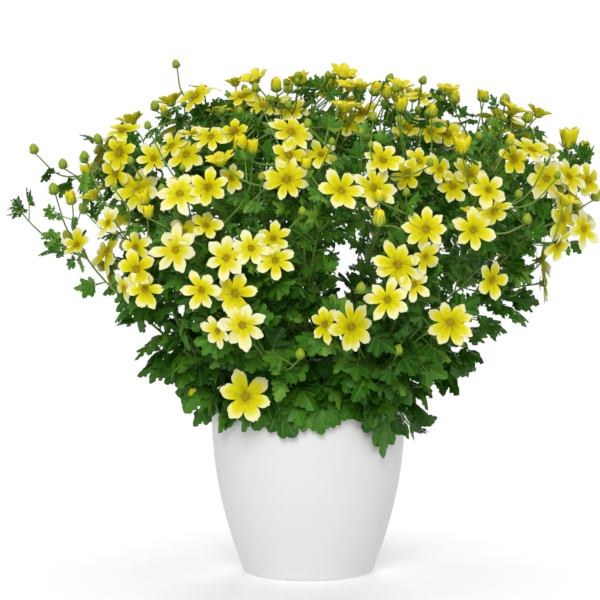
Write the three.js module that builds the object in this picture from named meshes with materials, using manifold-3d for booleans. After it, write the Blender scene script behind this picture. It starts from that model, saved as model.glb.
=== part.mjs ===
// Potted bidens: a white bell-shaped pot of soil, with a wide bush of thin leafy stems that carry
// yellow daisy-like blooms with cream petal tips, and green buds.
// Millimetres, +Z up. The origin is the centre of the pot's flat foot. The front faces -Y.
import * as THREE from "three";
import Module from "manifold-3d";

const wasm = await Module();
wasm.setup();

// Pot and soil
const POT_HEIGHT = 145;
const RIM_RADIUS = 85;
const FOOT_RADIUS = 56; // of the wall's line at the foot, before its rounded corner
const FOOT_CORNER = 6;
const BELL_POWER = 2.1; // how fast the wall turns upright towards the rim
const POT_WALL = 3;
const POT_FLOOR = 4;
const POT_SIDES = 28;
const SOIL_TOP = 130;
const OUTER_HEIGHTS = [22, 45, 70, 100]; // where the faceted wall has its rings
const INNER_HEIGHTS = [25, 70];
const RIM_CORNER = 1;
const FIT_GAP = 0.3; // between pieces that touch
const HOLE_DEPTH = 24;
const HOLE_SIDES = 5;

// The bush: half its width at heights above the floor, and its depth as a share of its width
const SPREAD = [
  [128, 92], [150, 110], [175, 148], [211, 172], [250, 205], [290, 230],
  [330, 240], [370, 230], [396, 200], [414, 165], [427, 108], [438, 30],
];
const DEPTH_SHARE = 0.92;
const ROUNDNESS = 2.3; // power of the bush's oval outline seen from above
const LEAN = 0.07; // sideways drift to +X for each millimetre of height

// Stems leave the soil upright and fan out along hyperbolas that share a ring of this radius.
const FAN_RADIUS = 58;
const RINGS = [
  { theta: 14, limit: 25, stems: 3, turn: 0.5 },
  { theta: 36, limit: 47, stems: 5, turn: 0.15 },
  { theta: 58, limit: 180, stems: 7, turn: 0.4 },
];
const STEM_STEPS = 5; // straight pieces above the soil
const STEM_RADIUS = 2.2;
const BRANCH_RADIUS = 1.3;
const CALYX_RADIUS = 3.2;
const BUD_STEM_RADIUS = 1.1;
const FORK_SHARE = 0.5; // where a cluster's branch forks
const ROOT_SHARE = 0.4; // how thin a branch starts, inside what it grows from
const STEM_REACH = 0.72; // how far a main stem goes, as a share of the way to the bush's outline
const STEM_TOP = 385; // height that no main stem passes
const FORK_RADIUS = 1.1; // of a cluster's branches after the fork
const TIP_RADIUS = 1.0; // of a branch just before its calyx
// A bud's outline from its foot to its tip: height and radius as shares of its half length
const BUD_PROFILE = [[-0.4, 0.8], [0.9, 0.4]];
const BLOOM_ROOM = 5; // how far branches keep from blooms, from other stems and from the rim
const STEM_ROOM = 5;
const RIM_ROOM = 4;
const BENDS = 24; // how many bends a branch may try
const BEND_STEP = 5;
const FINE = 5; // places along a path between two of its knots

// Places are read off the front view: units right and down, of this size on the pot's axis plane.
const VIEW = { unit: 0.88, axisU: 308.3, floorV: 570, distance: 2000, eyeX: -7, eyeZ: 350 };

// Clusters of blooms whose petals touch: depth as a share of the bush's, then for each bloom its
// place in the front view, its radius there, its petals and how far it looks up, in degrees.
const FRONT_CLUSTERS = [
  { depth: 0.2, blooms: [[195, 97, 20, 6, 50], [208, 87, 18, 5, 60]] },
  { depth: 0.2, blooms: [[243, 97, 18, 6, 55], [267, 108, 18, 6, 40], [281, 93, 18, 5, 65],
    [292, 111, 18, 6, 40]] },
  { depth: 0.75, blooms: [[122, 131, 18, 5, 50], [118, 157, 18, 6, 20], [107, 182, 20, 6, -20],
    [138, 191, 25, 7, 10]] },
  { depth: 0.72, blooms: [[235, 132, 15, 5, 20], [210, 138, 20, 7, 30], [182, 128, 17, 5, 60],
    [186, 155, 20, 6, 15], [170, 141, 18, 6, 30], [153, 159, 18, 6, 15]] },
  { depth: 0.93, blooms: [[180, 194, 25, 7, 10], [209, 187, 20, 6, 15]] },
  { depth: 0.88, blooms: [[291, 132, 24, 8, 35], [289, 155, 18, 5, 15], [287, 173, 23, 8, 10]] },
  { depth: 0.8, blooms: [[232, 178, 15, 6, 0]] },
  { depth: 0.96, blooms: [[176, 250, 26, 7, 5], [184, 226, 18, 5, 45], [206, 226, 17, 5, 30]] },
  { depth: 0.93, blooms: [[226, 258, 22, 6, -5], [253, 246, 20, 6, 5], [268, 240, 18, 6, 10],
    [275, 257, 20, 6, -10]] },
  { depth: 0.9, blooms: [[136, 247, 16, 5, 5], [138, 265, 20, 5, 10], [147, 283, 20, 6, -10],
    [124, 287, 16, 5, -10]] },
  { depth: 0.8, blooms: [[109, 223, 17, 5, 20]] },
  { depth: 0.3, blooms: [[77, 245, 16, 5, 30]] },
  { depth: 1.0, blooms: [[202, 290, 21, 6, 0], [240, 293, 23, 6, -10], [243, 325, 26, 7, -5],
    [217, 330, 19, 6, -10]] },
  { depth: 1.12, blooms: [[246, 397, 27, 6, -5]] },
  { depth: -0.15, blooms: [[348, 101, 17, 5, 55], [355, 113, 17, 5, 40], [350, 127, 17, 5, 20]] },
  { depth: 0.75, blooms: [[321, 155, 18, 5, 15]] },
  { depth: 0.93, blooms: [[341, 191, 24, 6, 5], [378, 187, 25, 7, 5], [383, 156, 21, 7, 15]] },
  { depth: 0.72, blooms: [[407, 175, 17, 6, 10], [417, 162, 18, 6, 20], [442, 170, 18, 5, 15],
    [452, 185, 18, 6, 10], [472, 173, 20, 7, 10]] },
  { depth: -0.3, blooms: [[420, 96, 18, 6, 65]] },
  { depth: 0.1, blooms: [[407, 129, 18, 5, 30], [434, 131, 18, 6, 25], [458, 131, 18, 5, 25]] },
  { depth: 0.62, blooms: [[514, 159, 18, 5, 10], [540, 143, 24, 6, 25], [547, 180, 22, 6, 0],
    [572, 173, 20, 6, 0], [596, 182, 18, 5, 5]] },
  { depth: -0.2, blooms: [[510, 116, 18, 5, 60]] },
  { depth: 0.9, blooms: [[488, 190, 20, 5, 5], [492, 209, 20, 6, -5], [473, 230, 22, 6, 0]] },
  { depth: 0.95, blooms: [[426, 229, 23, 8, 0], [425, 258, 19, 5, -10], [399, 264, 27, 8, 0],
    [417, 286, 17, 6, -10], [386, 300, 23, 7, -10]] },
  { depth: 0.75, blooms: [[562, 219, 24, 6, 0], [583, 229, 20, 6, 0], [556, 246, 18, 5, -10]] },
  { depth: 0.85, blooms: [[491, 280, 20, 5, -10]] },
  { depth: 1.0, blooms: [[351, 327, 26, 8, -5], [325, 324, 19, 6, -5]] },
  { depth: 1.0, blooms: [[450, 322, 25, 8, -5]] },
];

// Clusters on the back and sides: degrees round from the front, height, and number of blooms.
const BACK_CLUSTERS = [
  [96, 330, 3], [84, 262, 2], [112, 392, 3], [126, 300, 3], [142, 372, 3],
  [150, 236, 2], [163, 318, 3], [178, 386, 3], [186, 262, 2], [202, 340, 3],
  [214, 212, 2], [224, 388, 3], [236, 300, 3], [254, 366, 3], [264, 270, 2],
];
const BACK_BLOOM_RADIUS = 20;
const FACE_APART = 0.3; // how much a bloom leans away from its neighbour in a cluster
const LEAST_APART = 0.62; // least distance between neighbours, as a share of their radii's sum
const LARGE_BLOOM = 20.5; // radius from which petals have a rounded tip
const VALLEY_SHARE = 0.42; // how far out two petals part, as a share of their bloom's radius
// A petal's shoulders: how wide, as a share of half its sector, and how far out
const LARGE_SHOULDERS = [0.66, 0.8];
const SMALL_SHOULDERS = [0.58, 0.92];
const TOUCH_MOST = 0.78; // how far out a bloom meets its neighbour, as a share of its radius
const BLOOM_FRONT = 3; // how far a bloom's middle stands out, in front and behind
const BLOOM_BACK = 1.6;

// Buds in the front view: place, half length, how open from 0 to 1, and depth share
const FRONT_BUDS = [
  [10, 196, 5, 0, 0.1], [176, 64, 5, 0, 0.3], [155, 106, 6, 0, 0.3], [253, 82, 7, 0, 0.3],
  [34, 149, 6, 0, 0.1], [63, 164, 6, 0, 0.2], [84, 158, 6, 0, 0.4], [98, 139, 6, 0.2, 0.3],
  [136, 146, 8, 0.7, 0.8], [54, 189, 7, 0, 0.2], [71, 199, 7, 0.6, 0.3], [147, 214, 8, 0.7, 1.0],
  [193, 395, 8, 0.5, 0.7], [306, 88, 7, 0, 0.4], [329, 84, 8, 0.6, 0.2], [351, 77, 8, 0.8, 0.1],
  [373, 80, 7, 0.2, 0.2], [387, 93, 7, 0.6, 0.4], [401, 106, 8, 0.6, 0.6], [401, 134, 6, 0, 0.9],
  [379, 219, 8, 0.5, 1.0], [432, 112, 7, 0.5, 0.6], [462, 146, 9, 0.9, 0.9],
  [478, 104, 7, 0.3, 0.3], [505, 100, 7, 0.4, 0.2], [528, 117, 7, 0.3, 0.4],
  [569, 141, 10, 0.9, 0.3], [583, 152, 8, 0.7, 0.2], [447, 242, 8, 0.6, 1.0],
  [448, 286, 9, 0.9, 1.0], [527, 219, 6, 0, 0.9], [361, 288, 6, 0, 1.05], [398, 350, 6, 0, 1.0],
  [417, 405, 8, 0.5, 1.0], [240, 146, 8, 0.7, 0.9], [270, 143, 8, 0.7, 0.9],
  [312, 273, 6, 0, 1.05], [300, 354, 6, 0, 1.0],
];
const BACK_BUDS = 10;
const BUD_SLIDES = [0, 0.08, -0.08, 0.16, -0.16, 0.24, -0.24]; // in depth, to come clear of blooms
const BUD_ROOM = 13;
const BUD_LEAST_ROOM = 0.85; // a bud whose stem finds less room than this share of it is left out

const RIM_LEAVES = 12;
const RIM_LEAF_LENGTH = 26;
const LEAVES_TRIED = { stem: 16, bloom: 5, bud: 2 }; // along a path of each kind
const LEAF_ANGLE = 137.5; // degrees round its stem from one leaf to the next
const LEAF_LIMIT = 116;
const LEAF_THICKNESS = 2;
const LEAF_LENGTHS = [25, 36]; // from a leaf's middle to its tip, high and low on the plant
const LEAF_ROOM = 0.5; // how far leaves keep from what they don't grow from
const STALK_RADIUS = 0.9; // of the leaves that hang over the rim
const STALK_OVERLAP = 3;
// Half of a cut leaf's outline, from the tip round to the stalk: degrees, share of its length
const LEAF_LOBES = [
  [19, 0.52], [44, 0.92], [67, 0.4], [98, 0.8], [142, 0.28],
];

const GREEN = { color: 0x3f7a22, roughness: 0.62, metalness: 0 };
const YELLOW = { color: 0xf4e13c, roughness: 0.6, metalness: 0 };
const WHITE = { color: 0xf1f1f0, roughness: 0.42, metalness: 0 };
const BROWN = { color: 0x3a281c, roughness: 0.95, metalness: 0 };

const vector = (x, y, z) => new THREE.Vector3(x, y, z);
const radians = THREE.MathUtils.degToRad;
const mix = THREE.MathUtils.lerp;
const clamp = THREE.MathUtils.clamp;

// A repeatable draw from 0 to 1 for up to three whole numbers.
function draw(a, b = 0, c = 0) {
  const wave = Math.sin(a * 12.9898 + b * 78.233 + c * 37.719) * 43758.5453;
  return wave - Math.floor(wave);
}

// Half the bush's width at a height.
function spreadAt(z) {
  if (z <= SPREAD[0][0]) return SPREAD[0][1];
  for (let i = 1; i < SPREAD.length; i++) {
    const [z0, w0] = SPREAD[i - 1];
    const [z1, w1] = SPREAD[i];
    if (z <= z1) return mix(w0, w1, (z - z0) / (z1 - z0));
  }
  return SPREAD.at(-1)[1];
}

// How deep the bush is in front of its middle at a place across and up.
function depthAt(x, z) {
  const width = spreadAt(z);
  const across = Math.min(0.97, Math.abs(x - LEAN * (z - SOIL_TOP)) / width);
  return DEPTH_SHARE * width * (1 - across ** ROUNDNESS) ** (1 / ROUNDNESS);
}

// 0 in the middle of the bush at this height, 1 on its outline.
function reach(point) {
  const width = spreadAt(point.z);
  const x = Math.abs(point.x - LEAN * (point.z - SOIL_TOP)) / width;
  const y = Math.abs(point.y) / (width * DEPTH_SHARE);
  return (x ** ROUNDNESS + y ** ROUNDNESS) ** (1 / ROUNDNESS);
}

// The point seen at a place in the front view, at depth y.
function seenAt(u, v, y) {
  const far = (VIEW.distance + y) / VIEW.distance;
  const x = (u - VIEW.axisU) * VIEW.unit;
  const z = (VIEW.floorV - v) * VIEW.unit;
  return vector(VIEW.eyeX + (x - VIEW.eyeX) * far, y, VIEW.eyeZ + (z - VIEW.eyeZ) * far);
}

// The same, at a share of the bush's depth in front of its middle.
function onBush(u, v, share) {
  const flat = seenAt(u, v, 0);
  return seenAt(u, v, -share * depthAt(flat.x, flat.z));
}

// A point of the fan: phi round the pot, theta out from upright, mu along the hyperbola.
function fan(phi, theta, mu) {
  const out = FAN_RADIUS * Math.cosh(mu) * Math.sin(theta);
  const up = FAN_RADIUS * Math.sinh(mu) * Math.cos(theta);
  return vector(out * Math.cos(phi) + LEAN * up, out * Math.sin(phi), SOIL_TOP + up);
}

// The fan's three coordinates of a point.
function unfan(point) {
  const up = point.z - SOIL_TOP;
  const x = point.x - LEAN * up;
  const out = Math.hypot(x, point.y);
  const near = Math.hypot(out - FAN_RADIUS, up);
  const far = Math.hypot(out + FAN_RADIUS, up);
  const slant = Math.asin(clamp((far - near) / (2 * FAN_RADIUS), 0, 1));
  return {
    phi: Math.atan2(point.y, x),
    theta: up < 0 ? Math.PI - slant : slant,
    mu: Math.acosh(Math.max(1, (far + near) / (2 * FAN_RADIUS))),
  };
}

// Which way a bloom or bud looks: degrees round from the front, and degrees up.
function facing(turn, lift) {
  const [a, b] = [radians(turn), radians(lift)];
  return vector(Math.sin(a) * Math.cos(b), -Math.cos(a) * Math.cos(b), Math.sin(b));
}

// A few points evenly along a cubic curve.
function bezier(a, b, c, d, steps) {
  const curve = new THREE.CubicBezierCurve3(a, b, c, d);
  return Array.from({ length: steps + 1 }, (_, i) => curve.getPoint(i / steps));
}

// More points along the straight lines between knots.
function along(knots) {
  const points = [knots[0]];
  for (let i = 1; i < knots.length; i++)
    for (let k = 1; k <= FINE; k++) points.push(knots[i - 1].clone().lerp(knots[i], k / FINE));
  return points;
}

// Puts a bloom where its first petal runs into the nearest petal of a bloom placed before it. The
// centre slides along a ray, and stays neither too near that bloom nor out of reach.
function meet(bloom, ray, near) {
  const apart = bloom.centre.clone().sub(near.centre);
  apart.addScaledVector(near.normal, -apart.dot(near.normal));
  const least = LEAST_APART * (bloom.radius + near.radius);
  if (apart.length() < least) bloom.centre.add(apart.clone().setLength(least - apart.length()));
  const gap = Math.max(apart.length(), least);
  const half = Math.PI / near.petals;
  const k = Math.round((bearing(near.centre, near.normal, bloom.centre) - near.spin) / (2 * half));
  const share = clamp((gap - 0.75 * bloom.radius) / near.radius, 0.45, 0.75);
  const touch = petalPoint(near, ((k % near.petals) + near.petals) % near.petals, share);
  const slide = touch.clone().sub(bloom.centre).dot(bloom.normal) / ray.dot(bloom.normal);
  bloom.centre.addScaledVector(ray, slide);
  const out = bloom.centre.clone().sub(touch);
  const most = TOUCH_MOST * bloom.radius;
  if (out.length() > most) bloom.centre.copy(touch).add(out.setLength(most));
  bloom.spin = bearing(bloom.centre, bloom.normal, touch);
}

// A point in the thickness of a petal, at a share of its length from the bloom's centre.
function petalPoint(bloom, k, share) {
  const { side, over } = planeOf(bloom.normal);
  const angle = bloom.spin + (2 * Math.PI * k) / bloom.petals;
  const out = share * bloom.radius;
  return bloom.centre.clone().addScaledVector(side, out * Math.cos(angle))
    .addScaledVector(over, out * Math.sin(angle))
    .addScaledVector(bloom.normal, 0.6 * (1 - share) + petalLift(bloom, k) * share);
}

// How far a petal's end rises out of its bloom's plane.
function petalLift({ index, radius }, k) {
  return k === 0 ? 0 : radius * (0.14 * draw(index, k, 53) - 0.05);
}

// The angle in a bloom's plane at which another point lies.
function bearing(centre, normal, point) {
  const { side, over } = planeOf(normal);
  const to = point.clone().sub(centre);
  return Math.atan2(to.dot(over), to.dot(side));
}

// Two directions that span the plane of a bloom or bud.
function planeOf(normal) {
  const side = vector(0.2, 0.1, 1).cross(normal).normalize();
  return { side, over: normal.clone().cross(side) };
}

// The blooms, each with its place, the way it looks, its radius, petals, spin and cluster.
function placeBlooms() {
  const blooms = [];
  const eye = vector(VIEW.eyeX, -VIEW.distance, VIEW.eyeZ);
  FRONT_CLUSTERS.forEach((cluster, c) => {
    const members = [];
    cluster.blooms.forEach(([u, v, size, petals, lift], i) => {
      const centre = onBush(u, v, cluster.depth);
      const radius = size * VIEW.unit * ((VIEW.distance + centre.y) / VIEW.distance);
      const turn = 32 * (centre.x / 250) + 24 * (draw(c, i, 1) - 0.5);
      const near = members.toSorted((a, b) => a.centre.distanceTo(centre) - b.centre.distanceTo(centre))[0];
      const normal = facing(turn, lift);
      const bloom = {
        index: blooms.length + i, centre, normal, radius, petals: radius > LARGE_BLOOM ? petals : 5,
        spin: 2 * Math.PI * draw(c, i, 6), cluster: c,
      };
      if (near) {
        normal.addScaledVector(centre.clone().sub(near.centre).normalize(), FACE_APART).normalize();
        meet(bloom, centre.clone().sub(eye).normalize(), near);
      }
      members.push(bloom);
    });
    blooms.push(...members);
  });
  BACK_CLUSTERS.forEach(([round, height, count], k) => {
    const c = FRONT_CLUSTERS.length + k;
    const width = spreadAt(height) * (0.86 + 0.08 * draw(c, 2));
    const normal = facing(round, 5 + 45 * clamp((height - 250) / 160, 0, 1));
    const { side, over } = planeOf(normal);
    const middle = vector(width * Math.sin(radians(round)) + LEAN * (height - SOIL_TOP),
      -width * DEPTH_SHARE * Math.cos(radians(round)), height);
    const members = [];
    for (let i = 0; i < count; i++) {
      const angle = 2 * Math.PI * (i / count + draw(c, 3));
      const gap = BACK_BLOOM_RADIUS * (count === 2 ? 0.8 : 0.92);
      const out = side.clone().multiplyScalar(Math.cos(angle)).addScaledVector(over, Math.sin(angle));
      const bloom = {
        index: blooms.length + i, centre: middle.clone().addScaledVector(out, gap),
        normal: normal.clone().addScaledVector(out, FACE_APART).normalize(),
        radius: BACK_BLOOM_RADIUS * (0.92 + 0.2 * draw(c, i, 4)),
        petals: 5 + Math.floor(1.5 * draw(c, i, 5)), spin: 2 * Math.PI * draw(c, i, 6), cluster: c,
      };
      if (i) meet(bloom, normal, members[0]);
      members.push(bloom);
    }
    blooms.push(...members);
  });
  return blooms;
}

// The buds, each with its place, the way it points, its half length and how open it is.
function placeBuds(blooms) {
  const buds = FRONT_BUDS.map(([u, v, half, open, depth], i) => {
    const places = BUD_SLIDES.map((slide) => onBush(u, v, depth + slide));
    const centre = places.find((place) => clearance([place], blooms) > BUD_ROOM) ?? places[0];
    const normal = facing(40 * (centre.x / 250) + 40 * (draw(i, 11) - 0.5), 62 + 20 * draw(i, 12));
    return { centre, normal, half: half * VIEW.unit, open };
  });
  for (let i = 0; i < BACK_BUDS; i++) {
    const round = radians(80 + (200 * (i + draw(i, 13))) / BACK_BUDS);
    const height = 250 + 160 * draw(i, 14);
    const width = spreadAt(height) * 0.99;
    buds.push({
      centre: vector(width * Math.sin(round) + LEAN * (height - SOIL_TOP),
        -width * DEPTH_SHARE * Math.cos(round), height),
      normal: facing(THREE.MathUtils.radToDeg(round), 60),
      half: 6, open: 0.8 * draw(i, 15),
    });
  }
  return buds;
}

// The main stems: one in the middle of each cell of the fan.
function growStems() {
  const stems = [];
  RINGS.forEach((ring, r) => {
    for (let i = 0; i < ring.stems; i++) {
      const phi = (2 * Math.PI * (i + ring.turn + 0.5)) / ring.stems;
      const theta = radians(ring.theta + 4 * (draw(r, i, 21) - 0.5));
      let top = 0.6;
      while (reach(fan(phi, theta, top)) < STEM_REACH && fan(phi, theta, top).z < STEM_TOP) top += 0.05;
      stems.push({ phi, theta, top, ring: r, slot: i, index: stems.length });
    }
  });
  return stems;
}

// The stem whose cell holds a point.
function stemFor(stems, point) {
  const { phi, theta } = unfan(point);
  const r = RINGS.findIndex((ring) => theta < radians(ring.limit));
  const ring = RINGS[r];
  const share = phi / (2 * Math.PI) - ring.turn / ring.stems;
  const slot = Math.floor((share - Math.floor(share)) * ring.stems);
  return stems.find((stem) => stem.ring === r && stem.slot === slot);
}

// How far a path keeps from the blooms that it doesn't carry.
function clearance(points, blooms, carried) {
  let least = Infinity;
  for (const bloom of blooms) {
    if (bloom === carried) continue;
    for (const point of points) {
      const to = point.clone().sub(bloom.centre);
      const high = Math.abs(to.dot(bloom.normal));
      const wide = Math.sqrt(Math.max(0, to.lengthSq() - high * high)) - bloom.radius;
      least = Math.min(least, Math.hypot(high, Math.max(0, wide)));
    }
  }
  return least;
}

// How far a path keeps from the paths of the other stems.
function apart(points, paths, stem) {
  let least = Infinity;
  for (const path of paths) {
    if (path.stem === stem) continue;
    for (const a of path.points)
      for (const b of points) least = Math.min(least, a.distanceTo(b));
  }
  return least;
}

// How far a path keeps from the pot's rim.
function offRim(points) {
  return Math.min(...points.map(({ x, y, z }) =>
    Math.hypot(Math.hypot(x, y) - RIM_RADIUS + POT_WALL / 2, Math.max(0, z - POT_HEIGHT)) - POT_WALL / 2));
}

// A branch's curve to what it carries, bent aside where it would cross a bloom or another stem.
function branchTo({ from, heading, end, normal, carried, steps, stem }, blooms, paths) {
  const length = from.distanceTo(end);
  const leave = end.clone().sub(from).setLength(0.9).addScaledVector(heading, 0.6).normalize();
  const side = leave.clone().cross(normal).normalize();
  const over = side.clone().cross(leave).normalize();
  let best = null;
  for (let i = 0; i <= BENDS; i++) {
    const [angle, far] = [i * 2.4, BEND_STEP * Math.sqrt(i)];
    const shift = side.clone().multiplyScalar(far * Math.cos(angle))
      .addScaledVector(over, far * Math.sin(angle));
    const a = from.clone().addScaledVector(leave, 0.35 * length).addScaledVector(shift, 0.7);
    const b = end.clone().addScaledVector(normal, -0.38 * length).add(shift);
    const knots = bezier(from, a, b, end, steps);
    const points = along(knots);
    const room = Math.min(clearance(points, blooms, carried) / BLOOM_ROOM,
      apart(points, paths, stem) / STEM_ROOM, offRim(points) / RIM_ROOM, 1);
    if (!best || room > best.room + 0.02) best = { room, knots, points, stem };
    if (room === 1) break;
  }
  return best;
}

// All paths: main stems, a branch to each cluster that forks to its blooms, and bud stems.
function growPaths(stems, blooms, buds) {
  const paths = stems.map((stem) => {
    const shares = Array.from({ length: STEM_STEPS + 1 }, (_, i) => i / STEM_STEPS);
    const knots = shares.map((share) => fan(stem.phi, stem.theta, stem.top * share));
    knots.unshift(knots[0].clone().setZ(SOIL_TOP - HOLE_DEPTH));
    const [start, end] = [STEM_RADIUS, BRANCH_RADIUS];
    return { stem: stem.index, kind: "stem", knots, points: along(knots), start, end };
  });
  for (const [c, members] of Map.groupBy(blooms, (bloom) => bloom.cluster)) {
    const middle = members.reduce((sum, b) => sum.add(b.centre), vector(0, 0, 0))
      .divideScalar(members.length);
    const look = members.reduce((sum, b) => sum.add(b.normal), vector(0, 0, 0)).normalize();
    const stem = stemFor(stems, middle.clone().addScaledVector(look, -30));
    const trunk = paths[stem.index].points;
    const leave = Math.min(0.92, (unfan(middle).mu / stem.top) * (0.5 + 0.16 * draw(c, 31)));
    const k = Math.round(FINE + leave * (trunk.length - 1 - FINE));
    let [from, heading] = [trunk[k], trunk[k].clone().sub(trunk[k - 1]).normalize()];
    members.forEach((bloom, i) => {
      const end = bloom.centre.clone().addScaledVector(bloom.normal, -(BLOOM_BACK + FIT_GAP));
      const steps = i ? 2 : 3;
      const way = { from, heading, end, normal: bloom.normal, carried: bloom, steps, stem: stem.index };
      const branch = branchTo(way, blooms, paths);
      if (!i) {
        const fork = Math.round(branch.points.length * (members.length > 1 ? FORK_SHARE : 0.75));
        from = branch.points[fork];
        heading = branch.points[fork + 1].clone().sub(from).normalize();
      }
      const start = i ? FORK_RADIUS : BRANCH_RADIUS;
      paths.push({ ...branch, kind: "bloom", facing: bloom.normal, start, end: TIP_RADIUS });
    });
  }
  const twigs = [...paths];
  buds.forEach((bud) => {
    let best = null;
    for (const path of twigs)
      path.points.slice(FINE, -2).forEach((from, k) => {
        const gap = from.distanceTo(bud.centre) + 3 * Math.max(0, from.z + 12 - bud.centre.z);
        const heading = path.points[k + FINE + 1].clone().sub(from).normalize();
        if (!best || gap < best.gap) best = { gap, stem: path.stem, from, heading };
      });
    const end = bud.centre.clone().addScaledVector(bud.normal, -bud.half * 0.8);
    const way = { ...best, end, normal: bud.normal, carried: null, steps: 2 };
    const branch = branchTo(way, blooms, paths);
    const tip = bud.centre.clone().addScaledVector(bud.normal, bud.half);
    if (branch.room < BUD_LEAST_ROOM || clearance([bud.centre, tip], blooms) < bud.half + 2) return;
    paths.push({ ...branch, kind: "bud", start: BUD_STEM_RADIUS, end: 0.9, bud });
  });
  return paths;
}

// Places for leaves: alternating sides along every path, and a row that hangs over the rim.
function placeLeaves(stems, paths) {
  const leaves = [];
  paths.forEach((path, p) => {
    if (path.kind === "bud" && draw(p, 41) < 0.4) return;
    const count = LEAVES_TRIED[path.kind];
    const [first, span] = path.kind === "stem" ? [0.3, 0.7] : [0.12, 0.62];
    for (let i = 0; i < count; i++) {
      const at = (first + (span * (i + 0.5)) / count) * (path.points.length - 1);
      const k = Math.min(path.points.length - 2, Math.floor(at));
      const base = path.points[k].clone().lerp(path.points[k + 1], at - k);
      if (base.z < SOIL_TOP + 18) continue;
      const along = path.points[k + 1].clone().sub(path.points[k]).normalize();
      const outward = vector(base.x - LEAN * (base.z - SOIL_TOP), base.y, 0).normalize();
      const side = along.clone().cross(outward).normalize();
      const turn = radians(LEAF_ANGLE * i + 360 * draw(p, 42));
      const low = clamp((300 - base.z) / 150, 0, 1);
      const forward = side.clone().multiplyScalar(Math.cos(turn))
        .addScaledVector(side.clone().cross(along), Math.sin(turn))
        .addScaledVector(along, 0.45 - 0.3 * low)
        .addScaledVector(outward, 0.45)
        .addScaledVector(vector(0, 0, 1), 0.15 - 0.35 * low).normalize();
      const length = mix(LEAF_LENGTHS[0], LEAF_LENGTHS[1], low) * (0.85 + 0.35 * draw(p, i, 43));
      leaves.push({ ...leafAt(path.stem, base, forward, length, p * 20 + i), path });
    }
  });
  for (let i = 0; i < RIM_LEAVES; i++) {
    const phi = (2 * Math.PI * (i + 0.5 * draw(i, 44))) / RIM_LEAVES;
    const stem = stemFor(stems, fan(phi, radians(60), 1));
    const from = fan(stem.phi, stem.theta, 0.75);
    const out = vector(Math.cos(phi), Math.sin(phi), 0);
    const knee = out.clone().multiplyScalar(RIM_RADIUS - 6).setZ(POT_HEIGHT + 10);
    const down = out.clone().setZ(-0.75).normalize();
    const leaf = leafAt(stem.index, knee, down, RIM_LEAF_LENGTH, 3000 + i);
    leaves.push({ ...leaf, stalkFrom: from, path: paths[stem.index] });
  }
  return leaves;
}

// A leaf's frame: its stalk's foot, the way it points, its face and its length.
function leafAt(stem, base, forward, length, seed) {
  const up = vector(0.3 * (draw(seed, 45) - 0.5), 0.3 * (draw(seed, 46) - 0.5), 1);
  const side = up.cross(forward).normalize();
  const normal = forward.clone().cross(side);
  return { stem, base, forward, side, normal, length, stalk: length * (0.55 + 0.3 * draw(seed, 47)), seed };
}

// A closed solid from points and faces.
function solidOf(points, faces) {
  const vertProperties = new Float32Array(points.flatMap((p) => [p.x, p.y, p.z]));
  const triVerts = new Uint32Array(faces.flat());
  return new wasm.Manifold(new wasm.Mesh({ numProp: 3, vertProperties, triVerts }));
}

// A three-sided tube through points, its radius given for each, closed at both ends. Its last end
// lies square to a direction, if one is given.
function tube(points, radii, facing) {
  const sides = 3;
  const corners = [];
  points.forEach((point, i) => {
    const ahead = points[Math.min(i + 1, points.length - 1)];
    const behind = points[Math.max(i - 1, 0)];
    const along = i === points.length - 1 && facing ? facing : ahead.clone().sub(behind).normalize();
    const across = vector(0.35, 0.9, 0.26).cross(along).normalize();
    const over = along.clone().cross(across);
    for (let s = 0; s < sides; s++) {
      const angle = (2 * Math.PI * s) / sides;
      corners.push(point.clone().addScaledVector(across, radii[i] * Math.cos(angle))
        .addScaledVector(over, radii[i] * Math.sin(angle)));
    }
  });
  const faces = [];
  for (let i = 0; i + 1 < points.length; i++)
    for (let s = 0; s < sides; s++) {
      const [a, b] = [i * sides + s, i * sides + ((s + 1) % sides)];
      faces.push([a, b, b + sides], [a, b + sides, a + sides]);
    }
  const last = (points.length - 1) * sides;
  for (let s = 2; s < sides; s++) faces.push([0, s, s - 1], [last, last + s - 1, last + s]);
  return solidOf(corners, faces);
}

// A path's tube. A branch starts thin, inside what it grows from, and ends in a calyx or a bud.
function pathTube(path, grow = 0) {
  const { bud } = path;
  const points = [...path.knots];
  const steps = points.length - 1;
  const radii = points.map((_, i) => mix(path.start, path.end, i / steps) + grow);
  if (path.kind !== "stem") radii[0] = path.start * ROOT_SHARE + grow;
  if (path.kind === "bloom") radii[steps] = CALYX_RADIUS + grow;
  if (path.kind === "bud")
    BUD_PROFILE.forEach(([high, out]) => {
      points.push(bud.centre.clone().addScaledVector(bud.normal, high * bud.half));
      radii.push(bud.half * (out + (high > 0 ? 0.35 * bud.open : 0)) + grow);
    });
  return tube(points, radii, path.kind === "bloom" ? path.facing : undefined);
}

// A thin blade round a centre: an outline that both faces fan out to, thick in the middle.
function blade(outline, top, bottom) {
  const n = outline.length;
  const faces = [];
  for (let i = 0; i < n; i++) {
    const j = (i + 1) % n;
    faces.push([n, i, j], [n + 1, j, i]);
  }
  return solidOf([...outline, top, bottom], faces);
}

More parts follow.
